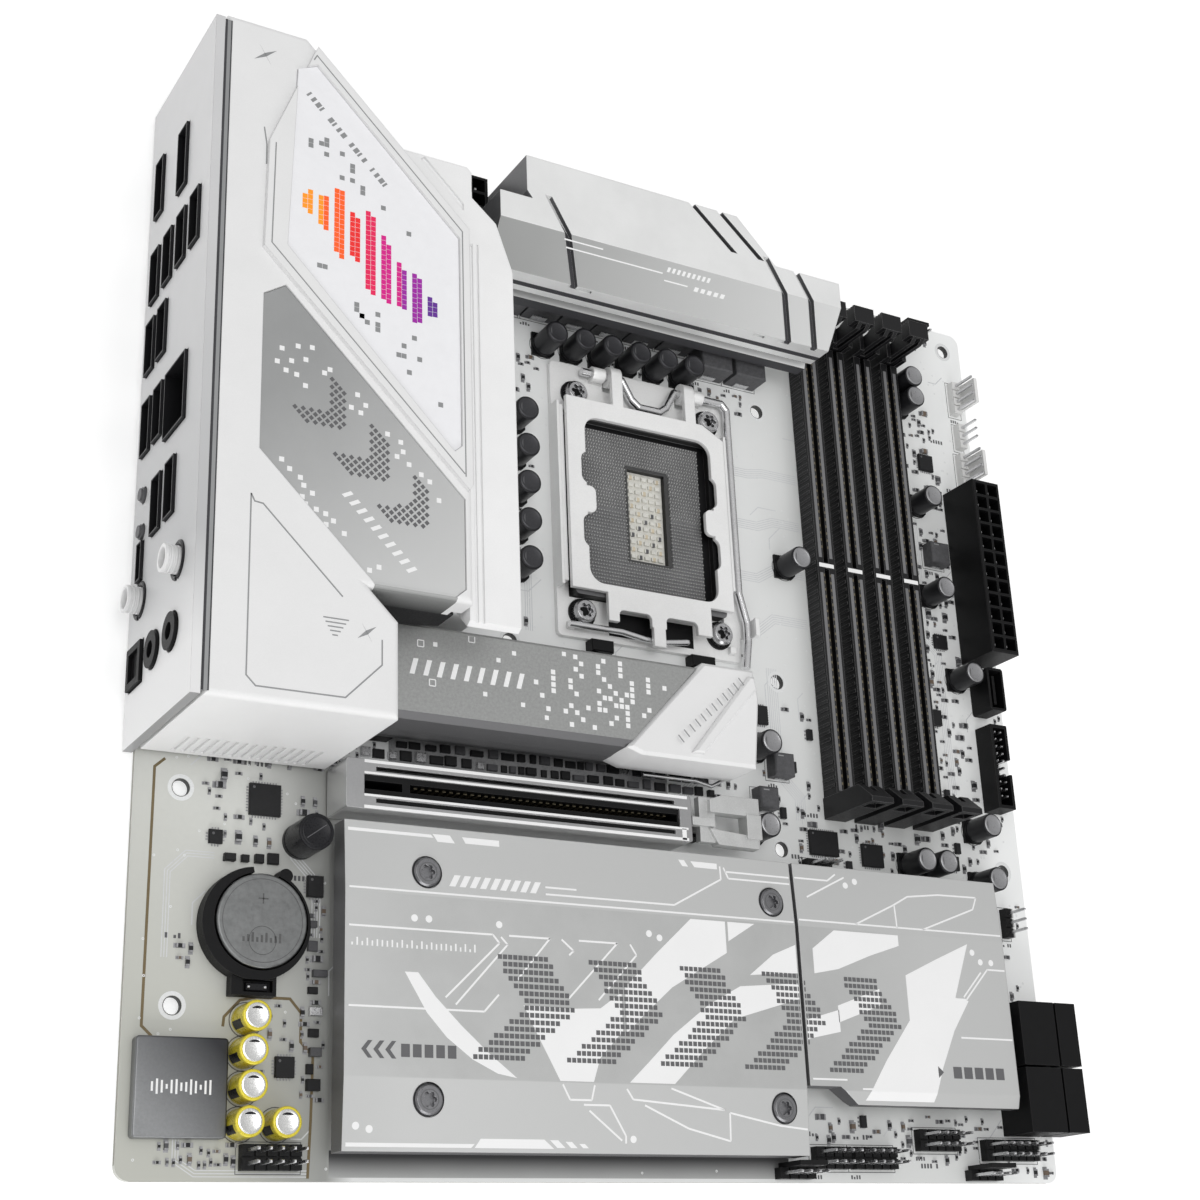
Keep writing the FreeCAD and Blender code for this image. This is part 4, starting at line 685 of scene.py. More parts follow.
def board_tracks():
    rng = random.Random(5)
    tracks = Shape()
    for k in range(4):
        y = 138 + 15 * k
        bus(tracks, [(158.5, y), (163 + k % 3, y), (168 + k % 3, y + 4 - k), (179, y + 4 - k)], 5)
    for k in range(6):
        x = 62 + 15 * k
        bus(tracks, [(x, 88.5), (x, 92), (x + 6, 98), (x + 6, 122)], 5)
    for points, count in (([(8, 44), (8, 62), (12, 66), (18, 66)], 3), ([(41, 50), (41, 62), (36, 67),
        (36, 74)], 4),
                          ([(12, 8), (12, 4), (16, 1.5), (40, 1.5)], 3),
                          ([(166, 128), (166, 100), (172, 94), (172, 88)], 6),
                          ([(223, 100), (223, 140), (219, 144), (219, 180)], 5),
                          ([(90, 200), (90, 150), (95, 145), (95, 128)], 4)):
        bus(tracks, points, count)
    for k in range(90):
        x, y = rng.uniform(6, 236), rng.uniform(4, 236)
        dx, dy = rng.choice(((1, 0), (0, 1))) if rng.random() < 0.6 else (0.7, 0.7)
        a, b = rng.uniform(2, 6), rng.uniform(2, 7)
        bend = (x + dx * a, y + dy * a)
        end = (bend[0] + 0.707 * b, bend[1] + 0.707 * b) if dx != dy else (bend[0] + b, bend[1])
        if max(end) < 242:
            tracks.prism(ribbon([(x, y), bend, end], 0.28), -INK, 0.02)
    tracks.make("tracks", "trace", "pcb_white")


def outline_box(shape, x0, y0, x1, y1, width=0.16, z=0, m=0):
    for bar in ((x0, y0, x1, y0 + width), (x0, y1 - width, x1, y1), (x0, y0 + width, x0 + width, y1 - width),
            (x1 - width, y0 + width, x1, y1 - width)):
        shape.ink(oblong(*bar), z, m)


def dashes(shape, rng, x, y, count, size):
    """Row of plain ink ticks where a legend would be."""
    for _ in range(count):
        h = size * rng.choice((1, 1, 0.6))
        if rng.random() < 0.8 and y > RIM and x + size < BOARD_SIDE - RIM:
            shape.ink(oblong(x, y, x + size * 0.5, y + h))
        x += size * 0.85


def board_legends():
    """Outlines and ticks beside headers, chips and cans."""
    rng = random.Random(8)
    ink = Shape()
    for a, b in islands("pin_headers", "fan_headers", "vrm_chokes"):
        around = (a[0] - 0.7, a[1] - 0.7, b[0] + 0.7, b[1] + 0.7)
        if on_board(*around):
            outline_box(ink, *around)
        dashes(ink, rng, a[0], a[1] - 2.2, 4, 0.9)
    for x, y, r, _ in rounds("polymer_caps", "audio_caps"):
        ink.ring(x, y, r + 0.35, r + 0.55, -INK, PRINT_T)
    for x, y, count in ((24, 86.5, 6), (18, 64.9, 5), (20, 88.4, 7), (8, 48, 4), (34, 62, 5), (172, 89.2, 6),
            (189, 87.6, 5), (168, 78, 4), (235, 92.6, 5), (217, 136, 5), (229, 206, 5), (233, 191, 5),
            (200, 3.4, 6), (180, 10, 6), (164, 10.6, 6), (236, 13, 3), (154, 130, 5), (206, 238, 7)):
        dashes(ink, rng, x, y, count, 1.1)
    ink.make("board_legends", "silk", "pcb_white")


# ---------------- packages, cans and coils
def chip_details():
    """Legs round each package, and the dot at its first leg."""
    legs, marks = Shape(), Shape()
    for a, b in islands("chips"):
        for axis in (0, 1):
            other = 1 - axis
            count = int((b[axis] - a[axis] - 0.8) / 0.65)
            for k in range(count):
                t = (a[axis] + b[axis]) / 2 + (k - (count - 1) / 2) * 0.65
                for low, high in ((a[other] - 0.55, a[other] + 0.1), (b[other] - 0.1, b[other] + 0.55)):
                    corners = ((t - 0.13, low), (t + 0.13, high))
                    (x0, y0), (x1, y1) = [c[::-1] for c in corners] if axis else corners
                    legs.box(x0, y0, 0, x1, y1, 0.16)
        marks.ink(circle(a[0] + 0.9, b[1] - 0.9, 0.3, 14), b[2])
    legs.make("chip_legs", "solder", "nickel")
    marks.make("chip_marks", "grey", "chip_black")


def rolled_lid(shape, x, y, r, top):
    """Lid of an aluminium can, with its rolled edge."""
    shape.turned(x, y, [(r - 0.75, top - 0.1), (r - 0.62, top + 0.04), (r - 0.95, top + 0.12),
        (r - 1.15, top + 0.05), (0.1, top + 0.04)], 32)


def can_lids():
    """Rolled lids, polarity marks and seats of the round cans."""
    lids, seats, bright, lid = Shape(), Shape(), Shape(), Shape()
    for x, y, r, top in rounds("polymer_caps"):
        # lids left of x 150 take the darker copy, painted shade
        lids.turned(x, y, [(r - 0.5, top - 0.1), (r - 0.42, top + 0.05), (r - 0.75, top + 0.16),
            (r - 1, top + 0.06), (0.1, top + 0.05)], 32, 0 if x > 150 else 2)
        lids.prism([p for p in circle(x, y, r - 1.15, 32) if p[0] < x - 0.45 * r], top, top + 0.08, 1)
        c = r + 0.1
        seats.prism([(x - c, y - c), (x + c - 1.2, y - c), (x + c, y - c + 1.2), (x + c, y + c - 1.2),
            (x + c - 1.2, y + c), (x - c, y + c)], 0, 0.7)
    lids.make("capacitor_lids", "can_top silk can_dark", "cap_grey", smooth=True)
    for x, y, r, top in rounds("audio_caps"):
        rolled_lid(bright, x, y, r, top)
        bright.prism([p for p in circle(x, y, r - 1.3, 32) if p[1] > y + 0.35 * r], top, top + 0.07, 1)
        for turn in (190, 285):
            angles = [math.radians(turn) + 0.1 * k for k in range(7)]
            arcs = [[(x + reach * math.cos(t), y + reach * math.sin(t)) for t in angles] for reach in (r
                + 0.04, r - 0.06)]
            bright.prism(arcs[0] + arcs[1][::-1], 0.6, top - 1.6, 1)
    bright.make("bright_lids", "can_silver can_black", "cap_gold", smooth=True)
    for x, y, r, top in rounds("bulk_cap"):
        rolled_lid(lid, x, y, r, top)
        lid.prism(ribbon([(x - 2.2, y - 1.6), (x + 2.2, y + 1.6)], 0.16), top, top + 0.06, 1)
    lid.make("bulk_capacitor_lid", "can_black grey", "cap_grey", smooth=True)
    seats.make("capacitor_seats", "black", "black_plastic")


def coil_details():
    """Solder terminals and a pressed seam on the power coils."""
    clips = Shape()
    for a, b in islands("vrm_chokes"):
        mid, half = (a[0] + b[0]) / 2, 0.22 * (b[0] - a[0])
        for y0, y1 in ((a[1] - 0.22, a[1] + 0.05), (b[1] - 0.05, b[1] + 0.22)):
            clips.box(mid - half, y0, 0, mid + half, y1, 0.32 * b[2])
        clips.stroke([(a[0] + 0.9, b[1] - 0.9), (a[0] + 2.6, b[1] - 0.9)], 0.3, b[2], 1)
    clips.make("coil_terminals", "tin ink_mid", "nickel")


def shield_details():
    """Plain bar pattern on the shielding can."""
    low, high = span("audio_shield")
    art = Shape()
    mid = (low[1] + high[1]) / 2
    for k in range(13):
        h = 0.4 + 1.1 * abs(math.sin(0.9 * k + 0.5))
        x = low[0] + 3.4 + 1 * k
        art.ink(oblong(x, mid - h, x + 0.42, mid + h), high[2])
    art.make("shield_art", "ink_white", "shield_metal")


# ---------------- processor socket
def socket_field():
    """Every spring contact of the socket, leaning one way in each half."""
    pins = Shape()
    pitch_x, pitch_y = 0.8, 0.93
    for j in range(int((FIELD[3] - FIELD[1]) / pitch_y)):
        for i in range(int((FIELD[2] - FIELD[0]) / pitch_x)):
            x = FIELD[0] + pitch_x * (i + 0.5 + 0.25 * (j % 2))
            y = FIELD[1] + pitch_y * (j + 0.5)
            if WELL[0] < x < WELL[2] and WELL[1] < y < WELL[3]:
                continue
            lean = 0.22 if y > SOCKET_Y else -0.22
            low = oblong(x - 0.12, y - 0.14, x + 0.12, y + 0.14)
            pins.loft([low, [(px + 0.1, py + lean) for px, py in low]], [2.05, 2.72])
    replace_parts(pins.make("socket_pins", "spring", "gold"), "socket_contacts")


def socket_well():
    """Board parts in the socket's middle recess, and painted shade round the recess's rim and along its
    right-hand side.
    """
    well = Shape()
    x0, y0, x1, y1 = 123.7, 150.7, 134.7, 175.7
    well.box(x0, y0, 0.4, x1, y1, 0.62)
    for j in range(12):
        for i in range(5):
            x, y = x0 + 1.5 + 2 * i, y0 + 1.5 + 2 * j
            kind = (i * 3 + j * 5) % 4
            for a0, a1, top, m in ((-0.72, -0.42, 1.2, 2), (0.42, 0.72, 1.2, 2),
                    (-0.42, 0.42, 1.15, ((5, 4, 5, 1) if j < 7 else (5, 5, 5, 4))[kind])):
                well.box(x + a0, y - 0.5, 0.6, x + a1, y + 0.5, top, m)
    # painted shade round the recess and along its right-hand wall
    outline_box(well, 122.8, 149.8, 135.6, 176.6, 0.7, 2.14, 3)
    well.box(134.9, 150.4, 2.1 - INK, 136.2, 176.2, 2.2, 3)
    well.make("socket_well_parts", "cream grey cream hole_wall amber cream", "white_plastic")


def frame_clips():
    """Black plastic feet, and patches of painted shade round the ends of the load frame, on its ears, along
    the socket housing's rim and in and round its screws.
    """
    clips, filler = Shape(), Shape()
    film, ears, housing = 1.4, 3.9, 2.1     # heights of the faces that the patches of painted shade lie on
    # patches of painted shade under the load plate's openings, on the ears and along the housing's rim
    for x0, y0, x1, y1, z, rise in ((116.6, 129.4, 141.4, 135.6, film, 0.06),
            (107.3, 150, 109.1, 159.4, ears, 0.06), (107.3, 167.2, 109.1, 176.6, ears, 0.06),
            (147.5, 150, 149.4, 159.4, ears, 0.06), (147.5, 167.2, 149.4, 176.6, ears, 0.06),
            (107.6, 190.2, 112.8, 196, film, 0.06), (118.2, 189.6, 142.6, 192.6, film, 0.06),
            (145.4, 141.2, 147.5, 186.2, housing, 0.1), (109.3, 185, 145.4, 186.2, housing, 0.1)):
        clips.box(x0, y0, z - INK, x1, y1, z + rise)
    # painted shade in the wells round the screws and in their star recesses
    for x, y, _, _ in rounds("ilm_screws"):
        clips.ring(x, y, 3.05, 3.75, film, film + 0.5)
        clips.turned(x, y, [(1.45, 2.7), (1.45, 2.84), (1.3, 2.86)], 6)
    filler.box(103.05, 141, film, 104.1, 189, 4.3)
    filler.make("frame_filler", "steel", "steel_bright")
    for x0, x1 in ((110.6, 116.8), (139.6, 146.6)):
        clips.block(x0, 124.2, 0, x1, 127.3, 3.4, 0.3)
        clips.block(x0, 122.4, 0, x0 + 2.2, 124.3, 2.4, 0.3)
    clips.make("frame_feet_and_shade", "black", "black_plastic")


# ---------------- memory and expansion slots
def memory_details():
    """Key bridges, wall ribs and end marks of the memory slots."""
    trim, ribs, keys = Shape(), Shape(), Shape()
    slots = islands("dimm_bodies")
    for a, b in slots:
        x0, x1 = a[0] + 0.4, b[0] - 0.4
        mid = (x0 + x1) / 2
        for k in range(62):
            y = 96.5 + 2.05 * k
            for r0, r1 in ((x0 - 0.16, x0 + 0.05), (x1 - 0.05, x1 + 0.16)):
                ribs.box(r0, y, 0.3, r1, y + 0.9, 5)
        for side in (-1, 1):
            edge = mid + side * 1.75
            for y0, y1 in ((95.4, DIMM_KEY_Y - 2.2), (DIMM_KEY_Y + 2.2, 222)):
                trim.ink(oblong(edge - 0.5, y0, edge + 0.5, y1), 5.6)
            for k in range(60):
                y = 97 + 2.05 * k
                if abs(y - DIMM_KEY_Y) > 3:
                    trim.box(mid + side * 0.98 - 0.18, y, 5.45, mid + side * 0.98 + 0.18, y + 0.7, 5.66, 1)
        keys.box(mid - 2.4, DIMM_KEY_Y - 0.55, 5.5, mid + 2.4, DIMM_KEY_Y + 0.55, 5.68)
    for i in range(len(slots) + 1):
        left = slots[i - 1][1][0] if i else slots[0][0][0] - 3.4
        right = slots[i][0][0] if i < len(slots) else slots[-1][1][0] + 3.4
        keys.box(left + 0.4, DIMM_KEY_Y - 0.4, -INK, right - 0.4, DIMM_KEY_Y + 0.4, 0.04)
    ribs.make("slot_ribs", "dimm", "black_plastic")
    trim.make("slot_top_trim", "rail_grey dull_gold", "grey_plastic")
    keys.make("slot_key_marks", "ink_white", "white_plastic")


def slot_edge_highlights():
    """Painted highlights along the folded edges of the expansion slot's metal jacket."""
    low, high = span("pcie_armour")
    middle = (low[1] + high[1]) / 2
    rails = Shape()
    for y0, y1 in ((-5.45, -4.75), (-2.75, -2.25), (2.25, 2.75), (4.75, 5.45)):
        rails.ink(oblong(low[0] + 4.2, middle + y0, high[0] - 1, middle + y1), high[2])
    rails.ink(oblong(high[0] - 2.8, low[1] + 0.3, high[0] - 1.6, low[1] + 3), high[2])
    rails.make("slot_edge_highlights", "ink_white", "nickel")


def dark_row():
    """Black parts packed in the shade beside the covers, over a dark sheet of painted shade."""
    rng = random.Random(12)
    row = Shape()
    # painted shade: a dark sheet under the parts
    for x in range(48, 148):
        if free(x, 88, x + 1, 97, 0):
            row.box(x, 87.9, -INK, x + 1, 97.2, 0.25, 1)
    for x0, x1, lines in ((50, 148, (88.2, 91.4, 94.4)), (38.8, 43.2, (18, 21.4, 25, 29, 33.4, 38, 41.6, 47,
            52, 57.6)), (19.4, 33.6, (65,))):
        for y in lines:
            x = x0 + rng.uniform(0, 1.5)
            while x < x1 - 2:
                w, h = rng.uniform(1.4, 3.4), rng.uniform(1.3, 2.4)
                if free(x, y, x + w, y + h, 0.1):
                    row.block(x, y, 0, x + w, y + h, rng.uniform(0.7, 1.3), 0.12,
                        rng.choice((0, 0, 0, 2, 3)))
                    KEEP.append((x, y, x + w, y + h))
                x += w + rng.uniform(0.4, 1.6)
    row.make("dark_part_row", "chip film smd_grey tin", "chip_black")


# ---------------- printed covers
def cover_height(y_low, y_high, top):
    """Height of a cover's face as a function of x and y: level between the creases, dipping outside them."""
    def height(x, y):
        if y < CREASE_LOW:
            return top - COVER_DIP * (CREASE_LOW - y) / (CREASE_LOW - y_low)
        if y > CREASE_HIGH:
            return top - COVER_DIP * (y - CREASE_HIGH) / (y_high - CREASE_HIGH)
        return top
    return height


class Decal:
    """Prints that follow one cover face and stop at its edges."""

    def __init__(self, bounds, height, creases=(), shape=None):
        self.shape = shape or Shape()
        self.bounds = bounds
        self.height = height if callable(height) else lambda x, y: height
        self.creases = creases

    def area(self, outline, m=0, lift=0):
        x0, y0, x1, y1 = self.bounds
        for axis, limit, keep_high in ((0, x0, True), (0, x1, False), (1, y0, True), (1, y1, False)):
            outline = clip(outline, axis, limit, keep_high)
        pieces = [outline]
        for crease in self.creases:
            pieces = [clip(p, 1, crease, side) for p in pieces if p for side in (True, False)]
        for p in pieces:
            if len(p) > 2:
                self.shape.prism(p, lambda x, y: self.height(x, y) - INK, lambda x,
                    y: self.height(x, y) + PRINT_T + lift, m)

    def line(self, points, width=0.35):
        for a, b in zip(points, points[1:]):
            self.area(ribbon([a, b], width), 0, 0.01)

    def spot(self, x, y, r, turn=math.pi / 4):
        """White square pixel."""
        self.area(circle(x, y, r, 4, turn))

    def halftone(self, outline, pitch_x, pitch_y, side, m=0, lift=0.025):
        """Square dots on a grid inside an outline."""
        xs, ys = [p[0] for p in outline], [p[1] for p in outline]
        for j in range(math.ceil(min(ys) / pitch_y), math.floor(max(ys) / pitch_y) + 1):
            for i in range(math.ceil(min(xs) / pitch_x), math.floor(max(xs) / pitch_x) + 1):
                if inside(i * pitch_x, j * pitch_y, outline):
                    self.area(square(i * pitch_x, j * pitch_y, side / 2), m, lift)

    def make(self, name, body=BOARD, mats="ink_white ink_grey ink_mid"):
        self.shape.make(name, mats, "white_plastic", body)


def slants(decal, count, x, y, pitch, width, lean, height, m=0, lift=0):
    """Row of slanted blocks where a line of lettering would run."""
    for k in range(count):
        decal.area(slanted(x + pitch * k, y, width, lean, height), m, lift)


def sweep_marks(decal):
    """Pointed white sweeps in the style of a go-faster stripe."""
    for outline in (
            [(57.3, 42), (60.4, 42), (64.5, 37), (70.5, 31.2), (77, 25.6), (83.6, 20.6), (79, 21.4),
             (73, 24.2), (67, 28.6), (62.4, 33.6)],
            [(85.6, 36.2), (88.4, 30.8), (91.4, 25.4), (94.2, 20.3), (102.6, 20.3), (104.4, 25.4),
             (110.6, 31.6), (110.6, 40.2), (105, 36.4), (98, 36)],
            [(111.6, 31.2), (117, 36), (124.2, 42), (139.8, 50.8), (139.8, 58.2), (130.2, 58.2),
             (120.4, 49.6), (111.6, 41.4)],
            [(111.8, 20.4), (123.6, 20.4), (133, 29), (141, 35.6), (160.4, 41.2), (160.4, 44.8), (143, 43.2),
             (134, 38.6), (124, 31.4), (117, 25)],
            [(140.5, 53.6), (148.2, 58.2), (140.5, 58.2)],
            [(146, 46), (160.4, 47.2), (160.4, 54.2), (153, 51.2)],
            [(160.6, 36), (171.2, 39), (171.2, 33.8), (160.6, 31.6)],
            [(164.8, 47.4), (172, 48.8), (182, 52.6), (191.3, 55.6), (191.3, 58.2), (171.6, 58.2),
             (164.8, 53.4)],
            [(171, 36), (184, 40.6), (184, 44.6), (171, 40)],
            [(177.4, 18), (198.2, 18), (201.6, 26.2), (206.4, 35.4), (212, 43), (207.8, 43.6), (213.5, 57.4),
             (203, 53), (192.6, 48.4), (192.6, 37.4), (184.4, 27.6)]):
        decal.area(outline)


def trace_marks(decal):
    """Thin circuit-like lines, strips along the edges and small dots."""
    for points in (
            [(44.5, 51.2), (78.4, 51.2), (80, 49.4), (66.8, 37)], [(80.4, 50.8), (82, 49.2), (69.2, 35.6)],
            [(44.5, 34.4), (76, 34.4), (79.6, 38.2)], [(82.4, 51.2), (92.6, 51.2), (84, 41.4)],
            [(95.6, 51.2), (98.6, 48.8), (97.4, 47.8)], [(100, 51.2), (110, 51.2), (97, 38.2)],
            [(113.4, 51.2), (115, 48.8), (104.6, 38.2)], [(92, 61.2), (126, 61.2), (139.8, 68.4),
             (139.8, 71.6)],
            [(92, 62.8), (100, 62.8)], [(94.8, 19.6), (96.6, 16.4), (102, 16.4), (102.8, 19.6)],
            [(100, 15.4), (106.6, 15.4), (110.6, 9), (110.6, 7.4)], [(101.4, 14.2), (109.6, 8)],
            [(111, 19), (112.6, 16.8), (136.8, 15), (122.6, 19.4)],
            [(115.6, 15.6), (127, 10.8), (138.2, 8.2), (138.2, 14.4), (152, 11.8), (160.4, 11)],
            [(140.8, 71.4), (142, 68.8), (160.4, 68.8)], [(141.2, 70.4), (160.4, 70.4)],
            [(161, 70.6), (171.4, 70.6), (174, 72.4)], [(164.6, 66), (176.6, 71.8)],
            [(178.6, 60.2), (191, 65.8), (196, 68.4), (206, 69.6), (218.6, 69.8), (217, 66.6),
             (199.6, 60.2)],
            [(191.4, 60), (191.4, 65.8)], [(201, 43.3), (211.4, 43.3), (219.2, 51.2), (225, 51.2)],
            [(210.6, 43.9), (217, 50.4)], [(208.4, 33.8), (225, 33.8)], [(176.4, 20.6), (197.6, 20.6)],
            [(162, 22.6), (172, 22.6)], [(44.5, 59.4), (160.4, 59.4)], [(161, 60.2), (225, 60.2)]):
        decal.line(points, 0.42)
    for outline in (
            [(44.4, 71.8), (64.6, 71.8), (64, 72.5), (44.4, 72.5)],
            [(65.6, 71), (69.8, 71), (68.6, 72.7), (64.4, 72.7)],
            [(72.4, 71.2), (80.8, 71.2), (80.8, 72.6), (71.6, 72.6)],
            [(132.6, 70.8), (139, 70.8), (139, 72.2), (131.6, 72.2)],
            [(44.4, 6.1), (72.8, 6.1), (73.6, 6.9), (44.4, 6.9)],
            [(73.6, 6.1), (92.6, 6.1), (90.2, 8), (75, 8)],
            slanted(129.2, 70.8, 1.6, -1, 1.5), slanted(93.4, 6.3, 2, -1.8, 1.6),
            slanted(96.8, 6.3, 1.6, -1.4, 1.3), slanted(99.8, 6.3, 1.4, -1, 0.9)):
        decal.area(outline)
    for x, y in ((59.6, 53.6), (63, 53.6), (80, 53.5), (118.6, 54), (121.4, 53.2), (112.5, 8.3),
                 (46.5, 10.2), (49.5, 9.6), (176.8, 69.8), (179.8, 71), (214.8, 55.3), (217.2, 53),
                 (220.7, 53)):
        decal.area(circle(x, y, 0.8, 14), 0, 0.01)
    slants(decal, 9, 68, 61.2, 2.5, 1.5, 1.4, 2.6)
    for k in range(26):
        decal.line([(45.2 + 1.15 * k, 47), (45.2 + 1.15 * k, 47.6 + 1.1 * abs(math.sin(1.7 * k)))], 0.36)


def chevron(x, y, reach, height, stroke, lean=0.28):
    """Arrow head that points to +X, leaning like an italic."""
    half = height / 2
    corners = ((0, half), (stroke, half), (reach + stroke, 0), (stroke, -half), (0, -half), (reach, 0))
    return [(x + px + lean * py, y + py) for px, py in corners]


def dotted_marks(decal):
    """Big halftone chevrons that run across both covers, with solid small ones at the ends."""
    for k in range(5):
        decal.halftone(chevron(75 + 23.4 * k, 35.8, 11, 24.4, 12.6 - 0.6 * k), 1.27, 1.55, 1.02, 1)
    for k in range(3):
        x = 47.4 + 2.7 * k
        decal.area([(x, 25.6), (x + 1.5, 27.4), (x + 2.5, 27.4), (x + 1.1, 25.6), (x + 2.5, 23.8),
            (x + 1.5, 23.8)], 1)
    slants(decal, 5, 56.4, 24.2, 2.7, 2, 0, 2.7, 1)
    decal.area([(200, 23.8), (201.7, 25.2), (200, 26.6)], 1, 0.02)
    slants(decal, 5, 204.8, 23.8, 3.4, 2.6, 0, 2.8, 1, 0.02)


def cover_prints():
    """One picture across the seam of the two lower covers."""
    margin = 0.35
    for name in ("m2_lower_heatsink", "chipset_heatsink"):
        low, high = span(name)
        decal = Decal((low[0] + margin, low[1] + margin, high[0] - margin, high[1] - margin),
            cover_height(low[1], high[1], high[2]), (CREASE_LOW, CREASE_HIGH))
        sweep_marks(decal)
        trace_marks(decal)
        dotted_marks(decal)
        decal.make(name + "_print")


def screw_seats():
    """Dark rings of painted shade in the countersinks, and washers round the cover screws."""
    seats = Shape()
    for x, y, _, top in rounds("cover_screws"):
        seats.ring(x, y, 3.22, 3.4, top - 1.8, top - 0.75, 36)
        seats.ring(x, y, 1.95, 2.15, top - 0.05, top + 0.05, 30, 1)
    seats.make("screw_seats", "groove ink_grey", "steel_bright", smooth=True)


# ---------------- shroud art
def diagonal(x, y):
    """Turn art drawn along +X to run down the shroud's 45 degree diagonal from (x, y)."""
    c = math.sqrt(0.5)
    return lambda u, v: (x + c * (u + v), y - c * (u - v))


def plate_art():
    """Halftone arrows, slanted blocks and loose pixels on the shroud's metal plate."""
    low, high = span("shroud_metal_plate")
    decal = Decal((low[0] + 0.3, low[1] + 0.3, high[0] - 0.3, high[1] - 0.3), high[2])
    turn = diagonal(20, 156.5)
    cells = []
    for k in range(3):
        u = 13.5 * k
        arrow = [(u, 8.5), (u + 5.6, 8.5), (u + 12, 2), (u + 5.6, -4.5), (u, -4.5), (u + 6, 2)]
        cells += [turn(1.3 * i, 1.3 * j) for i in range(-2, 40) for j in range(-6, 12) if inside(1.3 * i, 1.3
            * j, arrow)]
    for x, y in cells:
        decal.area(circle(x, y, 0.62, 4, math.pi / 2), 1)
    turn = diagonal(28.6, 135)
    for k in range(10):
        decal.area([turn(u, v) for u, v in slanted(0.4 + 2.3 * k, 0, 0.9, 0.7, 2.2)])
    rng = random.Random(3)
    spots = []
    while len(spots) < 30:
        x, y = rng.uniform(12.5, 54), rng.uniform(118, 170)
        edge_near = 151 < x + y < 158 or 186 < x + y < 192
        if edge_near and not (x < 24 and y > 156) and all(abs(x - a) + abs(y - b) > 2.2 for a,
                b in spots + cells):
            spots.append((x, y))
    cluster = [(15, 165.9), (17.2, 163.4), (18.6, 167.2), (16, 160.9), (20.4, 164.4), (18.4, 160.4),
        (21.8, 167.6), (14, 162.6), (20.4, 158.2)]
    for x, y in spots + cluster:
        decal.spot(x, y, 0.78)
    decal.make("shroud_plate_print", mats="ink_white ink_grey")


GLOW_STEPS = [(0.95, 0.3, 0.01), (0.92, 0.11, 0.01), (0.8, 0.02, 0.02), (0.72, 0.01, 0.09),
    (0.6, 0.005, 0.22), (0.3, 0.01, 0.32), (0.11, 0.02, 0.26)]
PIXEL, PIXEL_PITCH = 1.16, 1.25


def meter_middle(x):
    """Height of the sound meter's sloping middle line."""
    return 203.5 - 0.62 * (x - 18.6)


def lens_art():
    """Lit pixel columns of a sound meter, with loose grey pixels round them."""
    z = span("shroud_light_panel")[1][2]
    for i, color in enumerate(GLOW_STEPS):
        add("glow_%d" % i, color, 0.35, tone=0.05, grain=900, edge=0, glow=0.22)
    art, loose = Shape(), Shape()
    columns = 26
    for i in range(columns):
        if i % 3 == 2:
            continue
        x = 18.6 + PIXEL_PITCH * i
        middle = meter_middle(x) + 1.5 * math.sin(0.24 * i)
        step = min(len(GLOW_STEPS) - 1, i * len(GLOW_STEPS) // columns)
        wave = 0.5 + 0.5 * math.sin(1.9 * (i // 3) + 0.7) ** 2
        tall = 2 + 15.5 * math.sin(math.pi * (i + 1.5) / (columns + 2)) * wave
        for j in range(int(tall)):
            y = middle + PIXEL_PITCH * (j - tall / 2)
            art.ink(oblong(x, y, x + PIXEL, y + PIXEL), z, step)
    art.make("light_panel_pixels", " ".join("glow_%d" % i for i in range(len(GLOW_STEPS))), "panel_clear")
    rng = random.Random(23)
    outline = [(17.6, 234.6), (21.6, 236), (55.2, 202.6), (55.2, 152.4), (16.2, 191.4)]
    for k in range(330):
        x = 16 + PIXEL_PITCH * rng.randint(0, 31)
        y = 152 + PIXEL_PITCH * rng.randint(0, 64)
        offset = abs(y - meter_middle(x))
        near = all(inside(cx, cy, outline) for cx, cy in oblong(x - 0.6, y - 0.6, x + 1.7, y + 1.7))
        if near and offset > 12.6 and x + y < 245.5 and rng.random() < (0.7 if offset < 20 else 0.2):
            loose.ink(oblong(x, y, x + PIXEL, y + PIXEL), z)
    turn = diagonal(19, 230.6)
    for k in range(20):
        if k % 5 != 4:
            a = 1.45 * k
            loose.ink([turn(u, v) for u, v in oblong(a, 0, a + 0.5 + 0.3 * (k % 3), 1.5)], z)
    loose.make("light_panel_loose_pixels", "ink_mid", "grey_plastic")


def antenna_nuts():
    """Black collars where the antenna posts leave the rear plate."""
    nuts = Shape()
    x = span("io_plate")[0][0] + 0.15
    for a, b in islands("antenna_posts"):
        y, z, r = (a[1] + b[1]) / 2, (a[2] + b[2]) / 2, (b[1] - a[1]) / 2 - 0.6
        nuts.tube([(x, y + r * math.cos(0.25 * k), z + r * math.sin(0.25 * k)) for k in range(27)], 0.62)
    nuts.make("antenna_collars", "can_black", "black_plastic", smooth=True)


def shroud_end():
    """Painted shade on the shroud's end wall over the upper heatsink, with a dark sheet of painted shadow in
    the opening below it.
    """
    shade = Shape()

    def lip(low):
        return [(114.74, low), (114.74, 40.2), (114.95, 41), (115.35, 41.45), (115.62, 41.5), (115.62, low)]

    def shadow_sheet(low):
        return [(115, low), (115, 33.1), (115.6, 33.1), (115.6, low)]

    for side, x0, low0, x1, low1 in ((lip, 36.4, 20.6, 41, 20.6), (lip, 41, 33.1, 55.4, 33.1),
            (shadow_sheet, 41.3, 21.2, 58.4, 25.4)):
        shade.skin([[(x, y, z) for y, z in side(low)] for x, low in ((x1, low1), (x0, low0))])
    shade.make("shroud_end_shade", "end_shade", "black_plastic")


